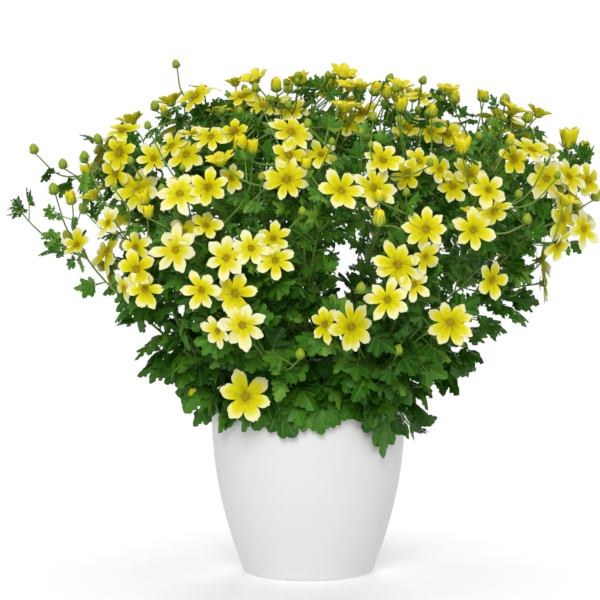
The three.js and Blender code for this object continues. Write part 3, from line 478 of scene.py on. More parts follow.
def branch_to(start, heading, end, normal, carried, steps, stem, paths):
    """A curve to what a branch carries, bent aside where it would cross a bloom or another stem."""
    length = np.linalg.norm(end - start)
    leave = unit(unit(end - start) * 0.9 + heading * 0.6)
    side = unit(np.cross(leave, normal))
    over = unit(np.cross(side, leave))
    others = np.concatenate([p["points"] for p in paths if p["stem"] != stem])
    best = None
    for i in range(BENDS + 1):
        far = BEND_STEP * math.sqrt(i)
        shift = side * far * math.cos(i * SPIRAL) + over * far * math.sin(i * SPIRAL)
        a = start + leave * 0.35 * length + shift * 0.7
        b = end - normal * 0.38 * length + shift
        knots = bezier(start, a, b, end, steps)
        points = along(knots)
        apart = np.linalg.norm(points[:, None] - others[None], axis=-1).min()
        room = min(clearance(points, carried) / BLOOM_ROOM, apart / STEM_ROOM,
                   off_rim(points) / RIM_ROOM, 1)
        if best is None or room > best["room"] + 0.02:
            best = dict(room=room, knots=knots, points=points, stem=stem)
        if room == 1:
            break
    return best


def bud_branch(bud, twigs, paths, wanted=0.0):
    """A bud's stem, from the place on a twig below it whose distance is nearest to the one wanted."""
    best = None
    for path in twigs:
        points = path["points"]
        starts = points[FINE:-2]
        gap = abs(np.linalg.norm(starts - bud["centre"], axis=1) - wanted)
        gap = gap + 3 * np.maximum(0, starts[:, 2] + 12 - bud["centre"][2])
        k = int(np.argmin(gap))
        if best is None or gap[k] < best[0]:
            best = gap[k], path["stem"], starts[k], unit(points[k + FINE + 1] - starts[k])
    _, s, start, heading = best
    end = bud["centre"] - bud["normal"] * bud["half"] * 0.8
    return branch_to(start, heading, end, bud["normal"], -1, 2, s, paths)


def grow_paths(blooms, buds):
    """Main stems, a branch to each cluster that forks to its blooms, and bud stems."""
    paths = []
    for s, stem in enumerate(STEMS):
        knots = [fan(stem["phi"], stem["theta"], stem["top"] * i / STEM_STEPS)
                 for i in range(STEM_STEPS + 1)]
        foot = np.array([knots[0][0], knots[0][1], SOIL_TOP - HOLE_DEPTH])
        knots = np.array([foot, *knots])
        paths.append(dict(stem=s, kind="stem", knots=knots, points=along(knots)))
    for c in range(len(FRONT_CLUSTERS) + len(BACK_CLUSTERS)):
        members = [b for b in blooms if b["cluster"] == c]
        middle = np.mean([b["centre"] for b in members], axis=0)
        look = unit(np.sum([b["normal"] for b in members], axis=0))
        s = stem_for(middle - 30 * look)
        trunk = paths[s]["points"]
        leave = min(0.92, unfan(middle)[2] / STEMS[s]["top"] * (0.5 + 0.16 * draw(c, 31)))
        k = math.floor(FINE + leave * (len(trunk) - 1 - FINE) + 0.5)
        start, heading = trunk[k], unit(trunk[k] - trunk[k - 1])
        for i, bloom in enumerate(members):
            end = bloom["centre"] - bloom["normal"] * (BLOOM_BACK + FIT_GAP)
            branch = branch_to(start, heading, end, bloom["normal"], bloom["index"], 2 if i else 3,
                               s, paths)
            if not i:
                share = FORK_SHARE if len(members) > 1 else 0.75
                fork = math.floor(len(branch["points"]) * share + 0.5)
                start = branch["points"][fork]
                heading = unit(branch["points"][fork + 1] - start)
            paths.append(dict(branch, kind="bloom", bloom=bloom))
    twigs = list(paths)
    for bud in buds:
        branch = bud_branch(bud, twigs, paths)
        tip = bud["centre"] + bud["normal"] * bud["half"]
        clear = clearance(np.array([bud["centre"], tip]))
        if branch["room"] >= BUD_LEAST_ROOM and clear >= bud["half"] + 2:
            paths.append(dict(branch, kind="bud", bud=bud))
    return paths


def more_buds(paths):
    """Small buds and young blooms over the top of the bush, on stems of their own."""
    found, places = [], [p["bud"]["centre"] for p in paths if p["kind"] == "bud"]
    twigs = [path for path in paths if path["kind"] != "bud"]
    for i in range(MORE_BUDS):
        turn = 360 * draw(i, 101)
        height = MORE_BUD_TOP - MORE_BUD_DROP * draw(i, 102) ** 1.4
        share = math.sqrt(draw(i, 103)) if height > CROWN else 0.86 + 0.1 * draw(i, 103)
        centre = round_bush(math.radians(turn), height, share)
        near = min(np.linalg.norm(centre - other) for other in places)
        if near < MORE_BUD_ROOM or clearance(centre[None]) < MORE_BUD_ROOM:
            continue
        kind = draw(i, 104)
        opened = WIDE_OPEN
        if kind < RIPE_SHARE:
            opened = 0.0 if kind < CLOSED_SHARE else 0.5 + 0.4 * draw(i, 105)
        half = 3.2 + 1.4 * draw(i, 106) + (1.6 if opened else 0)
        normal = facing(turn + 40 * (draw(i, 107) - 0.5), 55 + 30 * draw(i, 108))
        bud = dict(centre=centre, normal=normal, half=half, open=opened)
        branch = bud_branch(bud, twigs, paths + found, 30 + 70 * draw(i, 118))
        if branch["room"] >= MORE_BUD_LEAST_ROOM:
            found.append(dict(branch, kind="bud", bud=bud))
            places.append(centre)
    return found


# Where leaves grow

def leaf_at(stem, base, forward, length, seed, hang=None, **fixed):
    """A leaf: its stalk's foot and direction, and its length. Fixed leaves bring their own aim."""
    leaf = dict(stem=stem, base=base, forward=forward, length=length, seed=seed, hang=hang,
                stalk=length * (0.55 + 0.3 * draw(seed, 47)), fixed=bool(fixed), slim=1.0, layer=0)
    return dict(leaf, **fixed)


def place_leaves(layer):
    """Places for leaves on alternating sides along every path. Each layer takes other places."""
    counts, stem_share, branch_share = LEAF_LAYERS[layer]
    leaves = []
    for p, path in enumerate(PATHS):
        if path["kind"] == "bud" and draw(p, 41 + 100 * layer) < BARE_BUD_STEMS:
            continue
        count = counts[path["kind"]]
        first, span = stem_share if path["kind"] == "stem" else branch_share
        points = path["points"]
        for i in range(count):
            at = (first + span * (i + 0.5) / count) * (len(points) - 1)
            k = min(len(points) - 2, math.floor(at))
            base = mix(points[k], points[k + 1], at - k)
            if base[2] < SOIL_TOP + SOIL_CLEARANCE:
                continue
            ahead = unit(points[k + 1] - points[k])
            outward = unit(np.array([base[0] - LEAN * (base[2] - SOIL_TOP), base[1], 0]))
            side = unit(np.cross(ahead, outward))
            turn = math.radians(LEAF_ANGLE * i + 360 * draw(p, 42 + 100 * layer))
            low = lowness(base[2])
            forward = unit(side * math.cos(turn) + np.cross(side, ahead) * math.sin(turn)
                           + ahead * (0.45 - 0.3 * low) + outward * 0.45
                           + np.array([0, 0, 0.15 - 0.35 * low]))
            length = mix(*LEAF_LENGTHS, low) * (0.85 + 0.35 * draw(p, i, 43 + 100 * layer))
            leaf = leaf_at(path["stem"], base, forward, length, LAYER_SEED * layer + p * 20 + i)
            if layer:
                leaf.update(layer=layer, stalk=leaf["stalk"] * 0.6)
            leaves.append(leaf)
    return leaves


def outer_stem(phi, far=0.75):
    """The stem nearest to the rim at an angle round the pot, and where a leaf's stalk leaves it."""
    s = stem_for(fan(phi, math.radians(60), 1))
    return s, fan(STEMS[s]["phi"], STEMS[s]["theta"], far)


def rim_leaves():
    """A row of leaves on long stalks that hang over the pot's rim."""
    leaves = []
    for i in range(RIM_LEAVES):
        phi = 2 * math.pi * (i + 0.5 * draw(i, 44)) / RIM_LEAVES
        s, start = outer_stem(phi)
        out = np.array([math.cos(phi), math.sin(phi), 0])
        knee = out * (RIM_RADIUS - 6)
        knee[2] = POT_HEIGHT + 10
        down = unit(out + np.array([0, 0, -0.75]))
        leaves.append(leaf_at(s, knee, down, RIM_LEAF_LENGTH, RIM_SEED + i, start))
    return leaves


def collar_leaves():
    """Leaves that lean over the rim all the way round: each passes a little above it, and hangs."""
    leaves = []
    for i in range(COLLAR_LEAVES):
        phi = 2 * math.pi * (i + 0.8 * draw(i, 111)) / COLLAR_LEAVES
        out = np.array([math.cos(phi), math.sin(phi), 0])
        front = max(0.0, -out[1]) ** 2
        slope = (0.3 + 0.7 * draw(i, 112)) * (1 - 0.5 * front)
        foot = out * (RIM_RADIUS - 5 - 12 * draw(i, 113) - 6 * front)
        rise = slope * (RIM_RADIUS - np.linalg.norm(foot))
        foot[2] = POT_HEIGHT + 6 + 3 * front + 5 * draw(i, 114) + rise
        aside = np.array([-out[1], out[0], 0]) * 0.9 * (draw(i, 115) - 0.5)
        ahead = unit(out + aside - np.array([0, 0, slope]))
        s, start = outer_stem(phi, 0.75 + 0.2 * draw(i, 116))
        leaves.append(leaf_at(s, foot - ahead * 2, ahead, COLLAR_LEAF_LENGTH, COLLAR_SEED + i, start,
                              stalk=2.0, ahead=ahead, face=out * 0.9 + [0, 0, 0.8],
                              size=18 + 8 * draw(i, 117) * (1 - front), low=1.0, slim=0.8))
    return leaves


def over_rim(u, v, proud):
    """The point seen at a place in the front view that stands this far off the pot, or off its rim."""
    flat = seen_at(u, v, -RIM_RADIUS)
    y = -math.sqrt(max(100.0, (RIM_RADIUS + proud) ** 2 - flat[0] ** 2))
    return seen_at(u, v, y)


def front_rim_leaves():
    """Leaves that hang over the rim in front, from the places of their feet and tips in that view."""
    leaves = []
    for i, (u, v, to_u, to_v) in enumerate(FRONT_RIM_LEAVES):
        foot = over_rim(u, v, 5)
        ahead = over_rim(to_u, to_v, 9) - foot
        length = np.linalg.norm(ahead)
        ahead = ahead / length
        out = unit(foot * [1, 1, 0])
        s, start = outer_stem(math.atan2(out[1], out[0]))
        leaves.append(leaf_at(s, foot - ahead * 2, ahead, length, FRONT_SEED + i, start,
                              stalk=2.0, ahead=ahead, face=out + [0.3 * (draw(i, 109) - 0.5), 0, 0.25],
                              size=length, low=1.0, slim=0.62))
    return leaves


def tuft_leaves():
    """The small leaves at the end of the longest side shoot."""
    shoot = next(path for path in PATHS if path["kind"] == "bud" and path["bud"] is BUDS[0])
    tip, ahead = shoot["points"][-1], unit(shoot["points"][-1] - shoot["points"][-4])
    side, over = plane_of(ahead)
    leaves = []
    for i in range(TUFT_LEAVES):
        angle = math.radians(LEAF_ANGLE * i)
        forward = unit(ahead * (0.5 + 0.08 * i) + side * math.cos(angle) + over * math.sin(angle))
        leaves.append(leaf_at(shoot["stem"], tip - ahead * (16 - i), forward, TUFT_LEAF_LENGTH,
                              TUFT_SEED + i, stalk=2.0, ahead=forward, face=over + [0, -0.5, 0.5],
                              size=8 + 3 * draw(i, 110), low=0.2))
    return leaves


# Shapes

def grid(rows, columns, wrap=False):
    """Quads of a grid and their place on it. Round a tube the columns close, and quads are turned over
    so that they too look out."""
    span = columns if wrap else columns - 1
    r, c = np.arange(rows - 1)[:, None], np.arange(span)[None]
    corners = [(r, c), (r + 1, c), (r + 1, c + 1), (r, c + 1)][::-1 if wrap else 1]
    faces, u, v = (np.stack([np.broadcast_to(part, (rows - 1, span)) for part in parts], -1)
                   for parts in zip(*((a * columns + b % columns, b / span, a / (rows - 1))
                                      for a, b in corners)))
    return faces.reshape(-1, 4), np.stack([u, v], -1).reshape(-1, 4, 2)


def repeat(faces, uv, count, stride):
    """The same faces for each of many forms whose points follow one another."""
    shifts = (np.arange(count) * stride)[:, None, None]
    return (faces[None] + shifts).reshape(-1, faces.shape[1]), np.tile(uv, (count, 1, 1))


def form(points, faces, tint, look=0):
    """Points of many alike forms, with pairs of faces and corner places, and a tint for each form."""
    count, each = points.shape[:2]
    spread = [repeat(f, uv, count, each) for f, uv in faces]
    tint = np.repeat(np.broadcast_to(np.asarray(tint, float), count), each)
    return dict(points=points.reshape(-1, 3), faces=spread, tint=tint, look=look)


def sheet(foot, ways, fars):
    """Grids of points: from each foot, as far along its three directions as the three grids say."""
    points = foot[:, None, None]
    for way, far in zip(ways, fars):
        points = points + way[:, None, None] * far[..., None]
    return points


def blades(upper, lower, tint):
    """Closed blades: a grid for the upper side, and one below it that shares its rim."""
    count, rows, columns = upper.shape[:3]
    index = np.arange(rows * columns).reshape(rows, columns)
    below = index.copy()
    below[1:-1, 1:-1] = rows * columns + np.arange((rows - 2) * (columns - 2)).reshape(rows - 2, -1)
    faces, uv = grid(rows, columns)
    points = np.concatenate([upper.reshape(count, -1, 3),
                             lower[:, 1:-1, 1:-1].reshape(count, -1, 3)], axis=1)
    return form(points, [(faces, uv), (below.ravel()[faces][:, ::-1], uv[:, ::-1])], tint)


def ringed(rings, poles, tint, look=0):
    """Closed forms from rings of points, each joined to the next, with a pole at both ends."""
    count, steps, sides = rings.shape[:3]
    here, last = np.arange(sides), (steps - 1) * sides
    after, pole = (here + 1) % sides, here * 0 + steps * sides
    ends = [np.stack([pole, after, here], -1), np.stack([pole + 1, last + here, last + after], -1)]
    caps = [(faces, np.full((sides, 3, 2), float(v))) for v, faces in enumerate(ends)]
    points = np.concatenate([rings.reshape(count, -1, 3), poles], axis=1)
    return form(points, [grid(steps, sides, wrap=True), *caps], tint, look)


def tubes(points, radii, sides, tint=0.5, look=0, axis=None, flute=0.0):
    """Tubes round many lines: at each point a ring across the line, swollen by flute * cos(5 a)."""
    ahead = np.gradient(points, axis=1) if axis is None else np.broadcast_to(axis[:, None], points.shape)
    ahead = unit(ahead)
    across = unit(np.cross([0.35, 0.9, 0.26], ahead))
    over = np.cross(ahead, across)
    angle = 2 * math.pi * np.arange(sides) / sides
    swell = 1 + flute * np.cos(angle * 5)
    radii = np.broadcast_to(radii, points.shape[:2])[..., None, None] * swell[:, None]
    rings = points[:, :, None] + radii * (across[:, :, None] * np.cos(angle)[:, None]
                                          + over[:, :, None] * np.sin(angle)[:, None])
    return ringed(rings, points[:, [0, -1]], tint, look)


def smooth(knots, count):
    """Points evenly along a Catmull-Rom curve through knots."""
    ends = np.concatenate([[2 * knots[0] - knots[1]], knots, [2 * knots[-1] - knots[-2]]])
    at = np.linspace(0, len(knots) - 1 - 1e-9, count)
    k = at.astype(int)
    t = (at - k)[:, None]
    a, b, c, d = (ends[k + i] for i in range(4))
    return 0.5 * (2 * b + (c - a) * t + (2 * a - 5 * b + 4 * c - d) * t ** 2
                  + (3 * b - a - 3 * c + d) * t ** 3)


def lathe(profile, sides, shape=None):
    """Rings round the axis for every row of a profile that starts and ends on the axis."""
    angle = 2 * math.pi * np.arange(sides) / sides
    rows = np.array(profile[1:-1], float)
    r, z = rows[:, :1] * np.ones(sides), rows[:, 1:] * np.ones(sides)
    if shape is not None:
        r, z = shape(r, z, angle)
    rings = np.stack([r * np.cos(angle), r * np.sin(angle), z], -1)
    poles = np.array([(0, 0, profile[0][1]), (0, 0, profile[-1][1])], float)
    return ringed(rings[None], poles[None], 0.5)


def add_object(name, data):
    """An object at the origin, in the scene."""
    made = bpy.data.objects.new(name, data)
    bpy.context.scene.collection.objects.link(made)
    return made


def make_piece(name, forms, looks, nodes=(), sharp=50):
    """One object from forms, laid end to end in one mesh, with a UV map and a tint."""
    mesh = bpy.data.meshes.new(name)
    starts = np.cumsum([0] + [len(f["points"]) for f in forms])
    corners, sizes, places, which = [], [], [], []
    for start, f in zip(starts, forms):
        for faces, uv in f["faces"]:
            corners.append((faces + start).ravel())
            sizes.append(np.full(len(faces), faces.shape[1]))
            places.append(uv.reshape(-1, 2))
            which.append(np.full(len(faces), f["look"]))
    points = np.concatenate([f["points"] for f in forms]) * MM
    corners, sizes = np.concatenate(corners), np.concatenate(sizes)
    mesh.vertices.add(len(points))
    mesh.vertices.foreach_set("co", points.astype(np.float32).ravel())
    mesh.loops.add(len(corners))
    mesh.loops.foreach_set("vertex_index", corners.astype(np.int32))
    mesh.polygons.add(len(sizes))
    mesh.polygons.foreach_set("loop_start", (np.cumsum(sizes) - sizes).astype(np.int32))
    mesh.polygons.foreach_set("material_index", np.concatenate(which).astype(np.int32))
    mesh.polygons.foreach_set("use_smooth", np.ones(len(sizes), bool))
    along = mesh.uv_layers.new(name="Along")
    along.data.foreach_set("uv", np.concatenate(places).astype(np.float32).ravel())
    tint = mesh.attributes.new("tint", "FLOAT", "POINT")
    tint.data.foreach_set("value", np.concatenate([f["tint"] for f in forms]).astype(np.float32))
    mesh.update(calc_edges=True)
    mesh.set_sharp_from_angle(angle=math.radians(sharp))
    for look in looks:
        mesh.materials.append(look)
    piece = add_object(name, mesh)
    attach(piece, "root")
    if nodes:
        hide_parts(*nodes)


# Blooms

PETAL_AT = np.array([0, 0.2, 0.42, 0.62, 0.8, 0.93, 1.0])
PETAL_WIDTHS = np.array([0.36, 0.66, 0.88, 1.0, 0.99, 0.84, 0.55])
PETAL_ACROSS = np.array([-1, -0.5, 0, 0.5, 1])
PETAL_THICKNESS = 0.5
# A petal's width as a share of the bloom's radius: a fixed part, and one that the petals share out
PETAL_LEAST = 0.14
PETAL_SHARED = 2.45
# How far petal tips reach past their length, across the tip, as shares of it
POINTED_TIP = np.array([-0.04, 0.01, 0.03, 0.01, -0.04])
NOTCHED_TIP = np.array([-0.01, 0.03, -0.03, 0.025, -0.015])
YOUNG_TIP = np.array([-0.06, 0.0, 0.04, 0.0, -0.06])
DISC_HEIGHTS = np.array([-0.9, 0.3, 1.1, 1.6])
DISC_WIDTHS = np.array([0.8, 1.0, 0.85, 0.4])
DISC_FLORETS = 17
FLORET_HEIGHTS = np.array([-0.3, 0.55, 1.0])
FLORET_RADII = np.array([0.42, 0.52, 0.2])
BRACTS = 8
BRACT_AT = np.array([0, 0.35, 0.7, 1.0])
BRACT_WIDTHS = np.array([0.55, 1.0, 0.75, 0.12])
BRACT_BEND = 0.35
BRACT_THICKNESS = 0.35
CUP_HEIGHTS = np.array([-7.0, -4.2, -2.2, -0.7])
CUP_RADII = np.array([0.6, 1.1, 2.2, 2.9])
CUP_BLOOM = 21
BUD_HEIGHTS = np.array([-0.85, -0.62, -0.25, 0.15, 0.5, 0.8, 0.98])
BUD_RADII = np.array([0.3, 0.6, 0.78, 0.8, 0.66, 0.4, 0.14])
YOUNG_PETALS = 6


def petal_grids(foot, ways, length, width, lift, curl, cup, tip):
    """Petal surfaces. Along it the width follows PETAL_WIDTHS and the height is lift * t + curl * t^2;
    across it two pleats stand up, the edges rise with cup, and the tip is round, cut or pointed."""
    t, s = PETAL_AT[None, :, None], PETAL_ACROSS[None, None, :]
    length, width, lift, curl, cup = (x[:, None, None] for x in (length, width, lift, curl, cup))
    ahead = length * (t - 0.1 * s ** 2 * t ** 2 + tip[:, None, :] * t ** 5)
    beside = 0.5 * width * PETAL_WIDTHS[None, :, None] * s
    pleat = 0.045 * width * (abs(abs(s) - 0.5) < 0.1) * np.sin(math.pi * np.minimum(1, t * 1.15)) ** 0.7
    high = length * (lift * t + curl * t ** 2) + pleat + cup * width * s ** 2 * t
    upper = sheet(foot, ways, (ahead, beside, high))
    return upper, upper - ways[2][:, None, None] * PETAL_THICKNESS


def petal_forms(blooms):
    """The petals of some blooms, evenly round each disc but for a little jitter, roll, lift and bend."""
    counts = gather(blooms, "petals")
    of = np.repeat(np.arange(len(blooms)), counts)
    k = np.concatenate([np.arange(n) for n in counts])
    seed, radius, normal, spin, centre = (
        values[of] for values in gather(blooms, "index radius normal spin centre"))
    side, over = plane_of(normal)
    jitter = np.where(k == 0, 0, 0.26 * (draw(seed, k, 71) - 0.5))
    angle = (spin + 2 * math.pi * k / counts[of] + jitter)[:, None]
    out = side * np.cos(angle) + over * np.sin(angle)
    roll = (0.07 + 0.16 * (draw(seed, k, 72) - 0.5))[:, None]
    across = unit(over * np.cos(angle) - side * np.sin(angle) + normal * roll)
    length = radius * (0.9 + 0.2 * draw(seed, k, 52)) * 0.92
    width = radius * (PETAL_LEAST + PETAL_SHARED / counts[of]) * (0.88 + 0.24 * draw(seed, k, 73))
    foot = centre + out * (0.08 * radius)[:, None] + normal * 0.5
    lift = 0.3 * draw(seed, k, 53) - 0.1 + 0.3 * (draw(seed, 0, 69) - 0.35)
    curl = 0.3 * (draw(seed, k, 74) - 0.62)
    cup = 0.2 * (draw(seed, k, 75) - 0.25)
    tip = np.where((draw(seed, k, 76) < 0.4)[:, None], POINTED_TIP, NOTCHED_TIP)
    tip = tip + 0.03 * (np.stack([draw(seed, k, 77 + i) for i in range(5)], -1) - 0.5)
    deep = np.clip((centre[:, 2] - 300) / 130, 0, 1)
    shade = mix(0.68, 0.28, deep) + 0.5 * (draw(seed, 0, 91) - 0.5) + 0.2 * (draw(seed, k, 92) - 0.5)
    ways = out, across, np.cross(out, across)
    return blades(*petal_grids(foot, ways, length, width, lift, curl, cup, tip), np.clip(shade, 0, 1))


def disc_forms(blooms):
    """Discs: a low dome each, under florets whose places follow a sunflower spiral, with the distance
    out as the root of their number."""
    seed, centre, normal, radius, spin = gather(blooms, "index centre normal radius spin")
    disc = 0.15 * radius + 0.3
    line = centre[:, None] + normal[:, None] * DISC_HEIGHTS[None, :, None]
    dome = tubes(line, disc[:, None] * DISC_WIDTHS, 10, draw(seed, 0, 93) * 0.3, 1, axis=normal)
    side, over = plane_of(normal)
    i = np.arange(DISC_FLORETS)
    out = np.sqrt((i + 0.5) / DISC_FLORETS)
    angle = (np.radians(LEAF_ANGLE * i)[None] + spin[:, None])[..., None]
    away = (side[:, None] * np.cos(angle) + over[:, None] * np.sin(angle)) * out[:, None]
    foot = centre[:, None] + away * disc[:, None, None] * 0.92
    foot = foot + normal[:, None] * (1.3 - 0.9 * out ** 2)[:, None]
    rise = (1.3 + 0.9 * draw(seed[:, None], i, 94))[..., None]
    lean = unit(normal[:, None] + away * 0.55)
    line = foot[:, :, None] + lean[:, :, None] * rise[:, :, None] * FLORET_HEIGHTS[:, None]
    wide = FLORET_RADII * np.repeat(0.85 + radius / 80, DISC_FLORETS)[:, None]
    shade = (0.35 + 0.65 * draw(seed[:, None], i, 95)).ravel()
    return [dome, tubes(line.reshape(-1, 3, 3), wide, 4, shade, 1)]


def ring_of(centre, normal, size, turn, count, back, off):
    """Places and directions evenly round many axes: feet behind each centre and off its axis by shares
    of a size, and the ways out and across there."""
    side, over = plane_of(normal)
    angle = (turn[:, None] + 2 * math.pi * np.arange(count) / count)[..., None]
    out = (side[:, None] * np.cos(angle) + over[:, None] * np.sin(angle)).reshape(-1, 3)
    across = (over[:, None] * np.cos(angle) - side[:, None] * np.sin(angle)).reshape(-1, 3)
    centre, axis, size = (np.repeat(values, count, 0) for values in (centre, normal, size))
    foot = centre - axis * (back * size)[:, None] + out * (off * size)[:, None]
    return foot, out, across, axis, size


def bract_forms(centre, normal, size, turn, back, off, lean, length, width, tint):
    """Rings of small pointed blades: the width swells and closes to a tip, and they bend up by t^2."""
    foot, out, across, axis, size = ring_of(centre, normal, size, turn, BRACTS, back, off)
    ahead = unit(out * lean[0] + axis * lean[1])
    up = np.cross(ahead, across)
    t, s = BRACT_AT[None, :, None], np.array([-1, 0, 1])[None, None, :]
    length, width = (length * size)[:, None, None], (width * size)[:, None, None]
    beside = 0.5 * BRACT_WIDTHS[None, :, None] * width * s
    high = BRACT_BEND * length * t ** 2 + 0.08 * width * (1 - s ** 2)
    upper = sheet(foot, (ahead, across, up), (length * t + 0 * s, beside, high))
    return blades(upper, upper - up[:, None, None] * BRACT_THICKNESS, tint)


def calyx_forms(blooms):
    """A green cup behind each bloom, with narrow bracts round it."""
    centre, normal, radius, turn = gather(blooms, "centre normal radius spin")
    size = radius / CUP_BLOOM
    line = centre[:, None] + normal[:, None] * CUP_HEIGHTS[:, None] * size[:, None, None]
    cups = tubes(line, CUP_RADII * size[:, None], 8, 0.6, 0, axis=normal)
    return [cups, bract_forms(centre, normal, size, turn, 3.4, 1.4, (1, -0.15), 6.0, 1.7, 0.5)]


def bud_forms(buds):
    """Ribbed egg-shaped buds in a ring of bracts. Yellow petals close over ripe ones, and spread
    outwards on young blooms."""
    centre, normal, half, opened = gather(buds, "centre normal half open")
    turn = draw(np.arange(len(buds)), 81) * 6.28
    line = centre[:, None] + normal[:, None] * (BUD_HEIGHTS * half[:, None])[..., None]
    body = tubes(line, BUD_RADII * half[:, None] * 0.92, 14, opened, 0, axis=normal, flute=0.05)
    green = [body, bract_forms(centre, normal, half, turn, 0.8, 0.3, (0.9, 0.35), 0.95, 0.3, 0.0)]
    wide = opened >= 0.5
    grow = np.repeat(opened[wide], YOUNG_PETALS)
    young = grow > 1
    foot, out, across, axis, size = ring_of(centre[wide], normal[wide], half[wide], turn[wide],
                                            YOUNG_PETALS, 0.5, np.where(young, 0.3, 0.5))
    seed = np.arange(len(size))
    spread = np.where(young, 1.1, 0.5 * (grow - 0.5)) + 0.16 * (draw(seed, 82) - 0.5)
    ahead = unit(axis + out * (spread + 0.2)[:, None])
    across = unit(across + out * 0.18)
    length = size * np.where(young, 2.3, 1.35 + 0.5 * grow) * (0.9 + 0.2 * draw(seed, 83))
    curl = np.where(young, -0.1, mix(0.42, 0.12, (grow - 0.5) / 0.4))
    petals = petal_grids(foot, (ahead, across, np.cross(ahead, across)), length,
                         size * np.where(young, 1.5, 1.0), 0 * curl, curl, 0.24 + 0 * curl,
                         np.tile(YOUNG_TIP, (len(size), 1)))
    return green, [blades(*petals, np.where(young, 0.75, 0.2 + 0.4 * draw(seed, 84)))]


# Leaves: five toothed leaflets on a thin stalk. Each has an angle from the leaf's direction, how
# far its tip reaches and where its foot is, as shares of the leaf's length.
LEAFLETS = [(0, 1.0, 0.34), (40, 0.8, 0.2), (-40, 0.8, 0.2), (75, 0.62, 0.0), (-75, 0.62, 0.0)]
LEAF_ROWS = 7
STALK_RADII = np.array([0.6, 0.6, 0.5, 0.25])


def arched(upper, tint):
    """Closed blades from grids of three across: a flat underside, and a triangle at both ends."""
    count, rows = upper.shape[:2]
    r = np.arange(rows - 1) * 3
    under = np.stack([r, r + 2, r + 5, r + 3], -1)
    v = np.arange(rows) / (rows - 1)
    flat = np.stack([np.stack([0 * v[1:] + u, v[i:len(v) - 1 + i]], -1)
                     for u, i in ((0.0, 0), (1.0, 0), (1.0, 1), (0.0, 1))], axis=1)
    last = rows * 3 - 3
    ends = np.array([(0, 1, 2), (last, last + 2, last + 1)])
    end_uv = np.array([[(0, 0), (0.5, 0), (1, 0)], [(0, 1), (1, 1), (0.5, 1)]], float)
    return form(upper.reshape(count, -1, 3), [grid(rows, 3), (under, flat), (ends, end_uv)], tint)


def leaf_forms(leaves):
    """Leaflets, arched across and drooping to the tip, with teeth, and the stalks that carry them."""
    base, forward, ahead, face, size, stalk, seed, low, slim = gather(
        leaves, "base forward ahead face size stalk seed low slim")
    middle = base + forward * stalk[:, None]
    side = unit(np.cross(face, ahead))
    normal = np.cross(ahead, side)
    loose = np.where(slim < 0.7, 0.15, 1.0)
    droop = loose * (0.1 + 0.3 * draw(seed, 48))
    grids, tones_and_top_light = [], []
    t = np.linspace(0, 1, LEAF_ROWS)[None, :, None]
    s = np.array([-1.0, 0, 1.0])[None, None, :]
    toothed = (np.arange(LEAF_ROWS) % 2)[None, :, None]
    for j, (angle, far, foot_at) in enumerate(LEAFLETS):
        angle = math.radians(angle) * (0.85 + 0.3 * draw(seed, j, 61)) * slim
        far = far * (0.85 + 0.3 * draw(seed, j, 62))
        f, g = far * np.cos(angle), far * np.sin(angle)
        fall = loose * (0.2 * (draw(seed, j, 67) - 0.5) - 0.12 * abs(g)) - droop * np.maximum(0, f) ** 2
        tip = middle + (ahead * f[:, None] + side * g[:, None] + normal * fall[:, None]) * size[:, None]
        foot = middle + ahead * (foot_at * size)[:, None]
        along = tip - foot
        long = np.linalg.norm(along, axis=1)
        along = unit(along)
        across = unit(np.cross(normal, along) + normal * (0.7 * (draw(seed, j, 63) - 0.5))[:, None])
        up = np.cross(along, across)
        wide = long * mix(0.68, 0.86, low) * (0.85 + 0.3 * draw(seed, j, 64))
        jag = mix(0.48, 0.24, low)[:, None, None]
        bell = np.sin(math.pi * (0.03 + 0.95 * t) ** 0.8) ** mix(0.85, 0.6, low)[:, None, None]
        bell = np.maximum(bell, 0.05) * (1 - jag * (1 - toothed))
        beside = 0.5 * wide[:, None, None] * bell * s
        span = long[:, None, None]
        reach_on = t + 0.07 * toothed * abs(s) * (1 - t)
        bend = (loose * (0.15 + 0.35 * draw(seed, j, 65)))[:, None, None]
        high = -bend * span * t ** 2 * 0.5 - (0.2 + bend) * abs(beside)
        grids.append(sheet(foot, (along, across, up), (span * reach_on, beside, high)))
        # Tint: a random tone for each leaf and leaflet, plus painted light that makes leaves higher on the
        # plant lighter.
        tones_and_top_light.append(0.6 * draw(seed, 0, 96) + 0.22 * draw(seed, j, 97) + 0.18 * (1 - low))
    leaflets = arched(np.concatenate(grids), np.concatenate(tones_and_top_light))
    crown = middle + ahead * (0.36 * size)[:, None]
    hang = np.array([leaf["base"] if leaf["hang"] is None else leaf["hang"] for leaf in leaves])
    line = np.stack([hang, base, middle, crown], axis=1)
    line[:, 1] = mix(line[:, 0], line[:, 1], 0.98)
    line[:, 1] += np.where(np.linalg.norm(hang - base, axis=1) > 1, 0, 1)[:, None] * forward
    stalks = tubes(line, STALK_RADII, 3, 0.5, 1)
    return [leaflets, stalks]


# Looks

def rgb(code):
    """A colour code such as f4e13c, as the linear values that a shader takes."""
    parts = [int(code[i:i + 2], 16) / 255 for i in (0, 2, 4)]
    return (*[p / 12.92 if p <= 0.04045 else ((p + 0.055) / 1.055) ** 2.4 for p in parts], 1.0)


class Value:
    """A number or colour that changes over a surface. Sums and products of values make nodes."""

    def __init__(self, look, socket):
        self.look, self.socket = look, socket

    def __add__(self, other):
        return self.look.math("ADD", self, other)

    def __sub__(self, other):
        return self.look.math("SUBTRACT", self, other)

    def __mul__(self, other):
        return self.look.math("MULTIPLY", self, other)

    def __pow__(self, other):
        return self.look.math("POWER", self, other)

    def __abs__(self):
        return self.look.math("ABSOLUTE", self)

    def sine(self):
        return self.look.math("SINE", self)


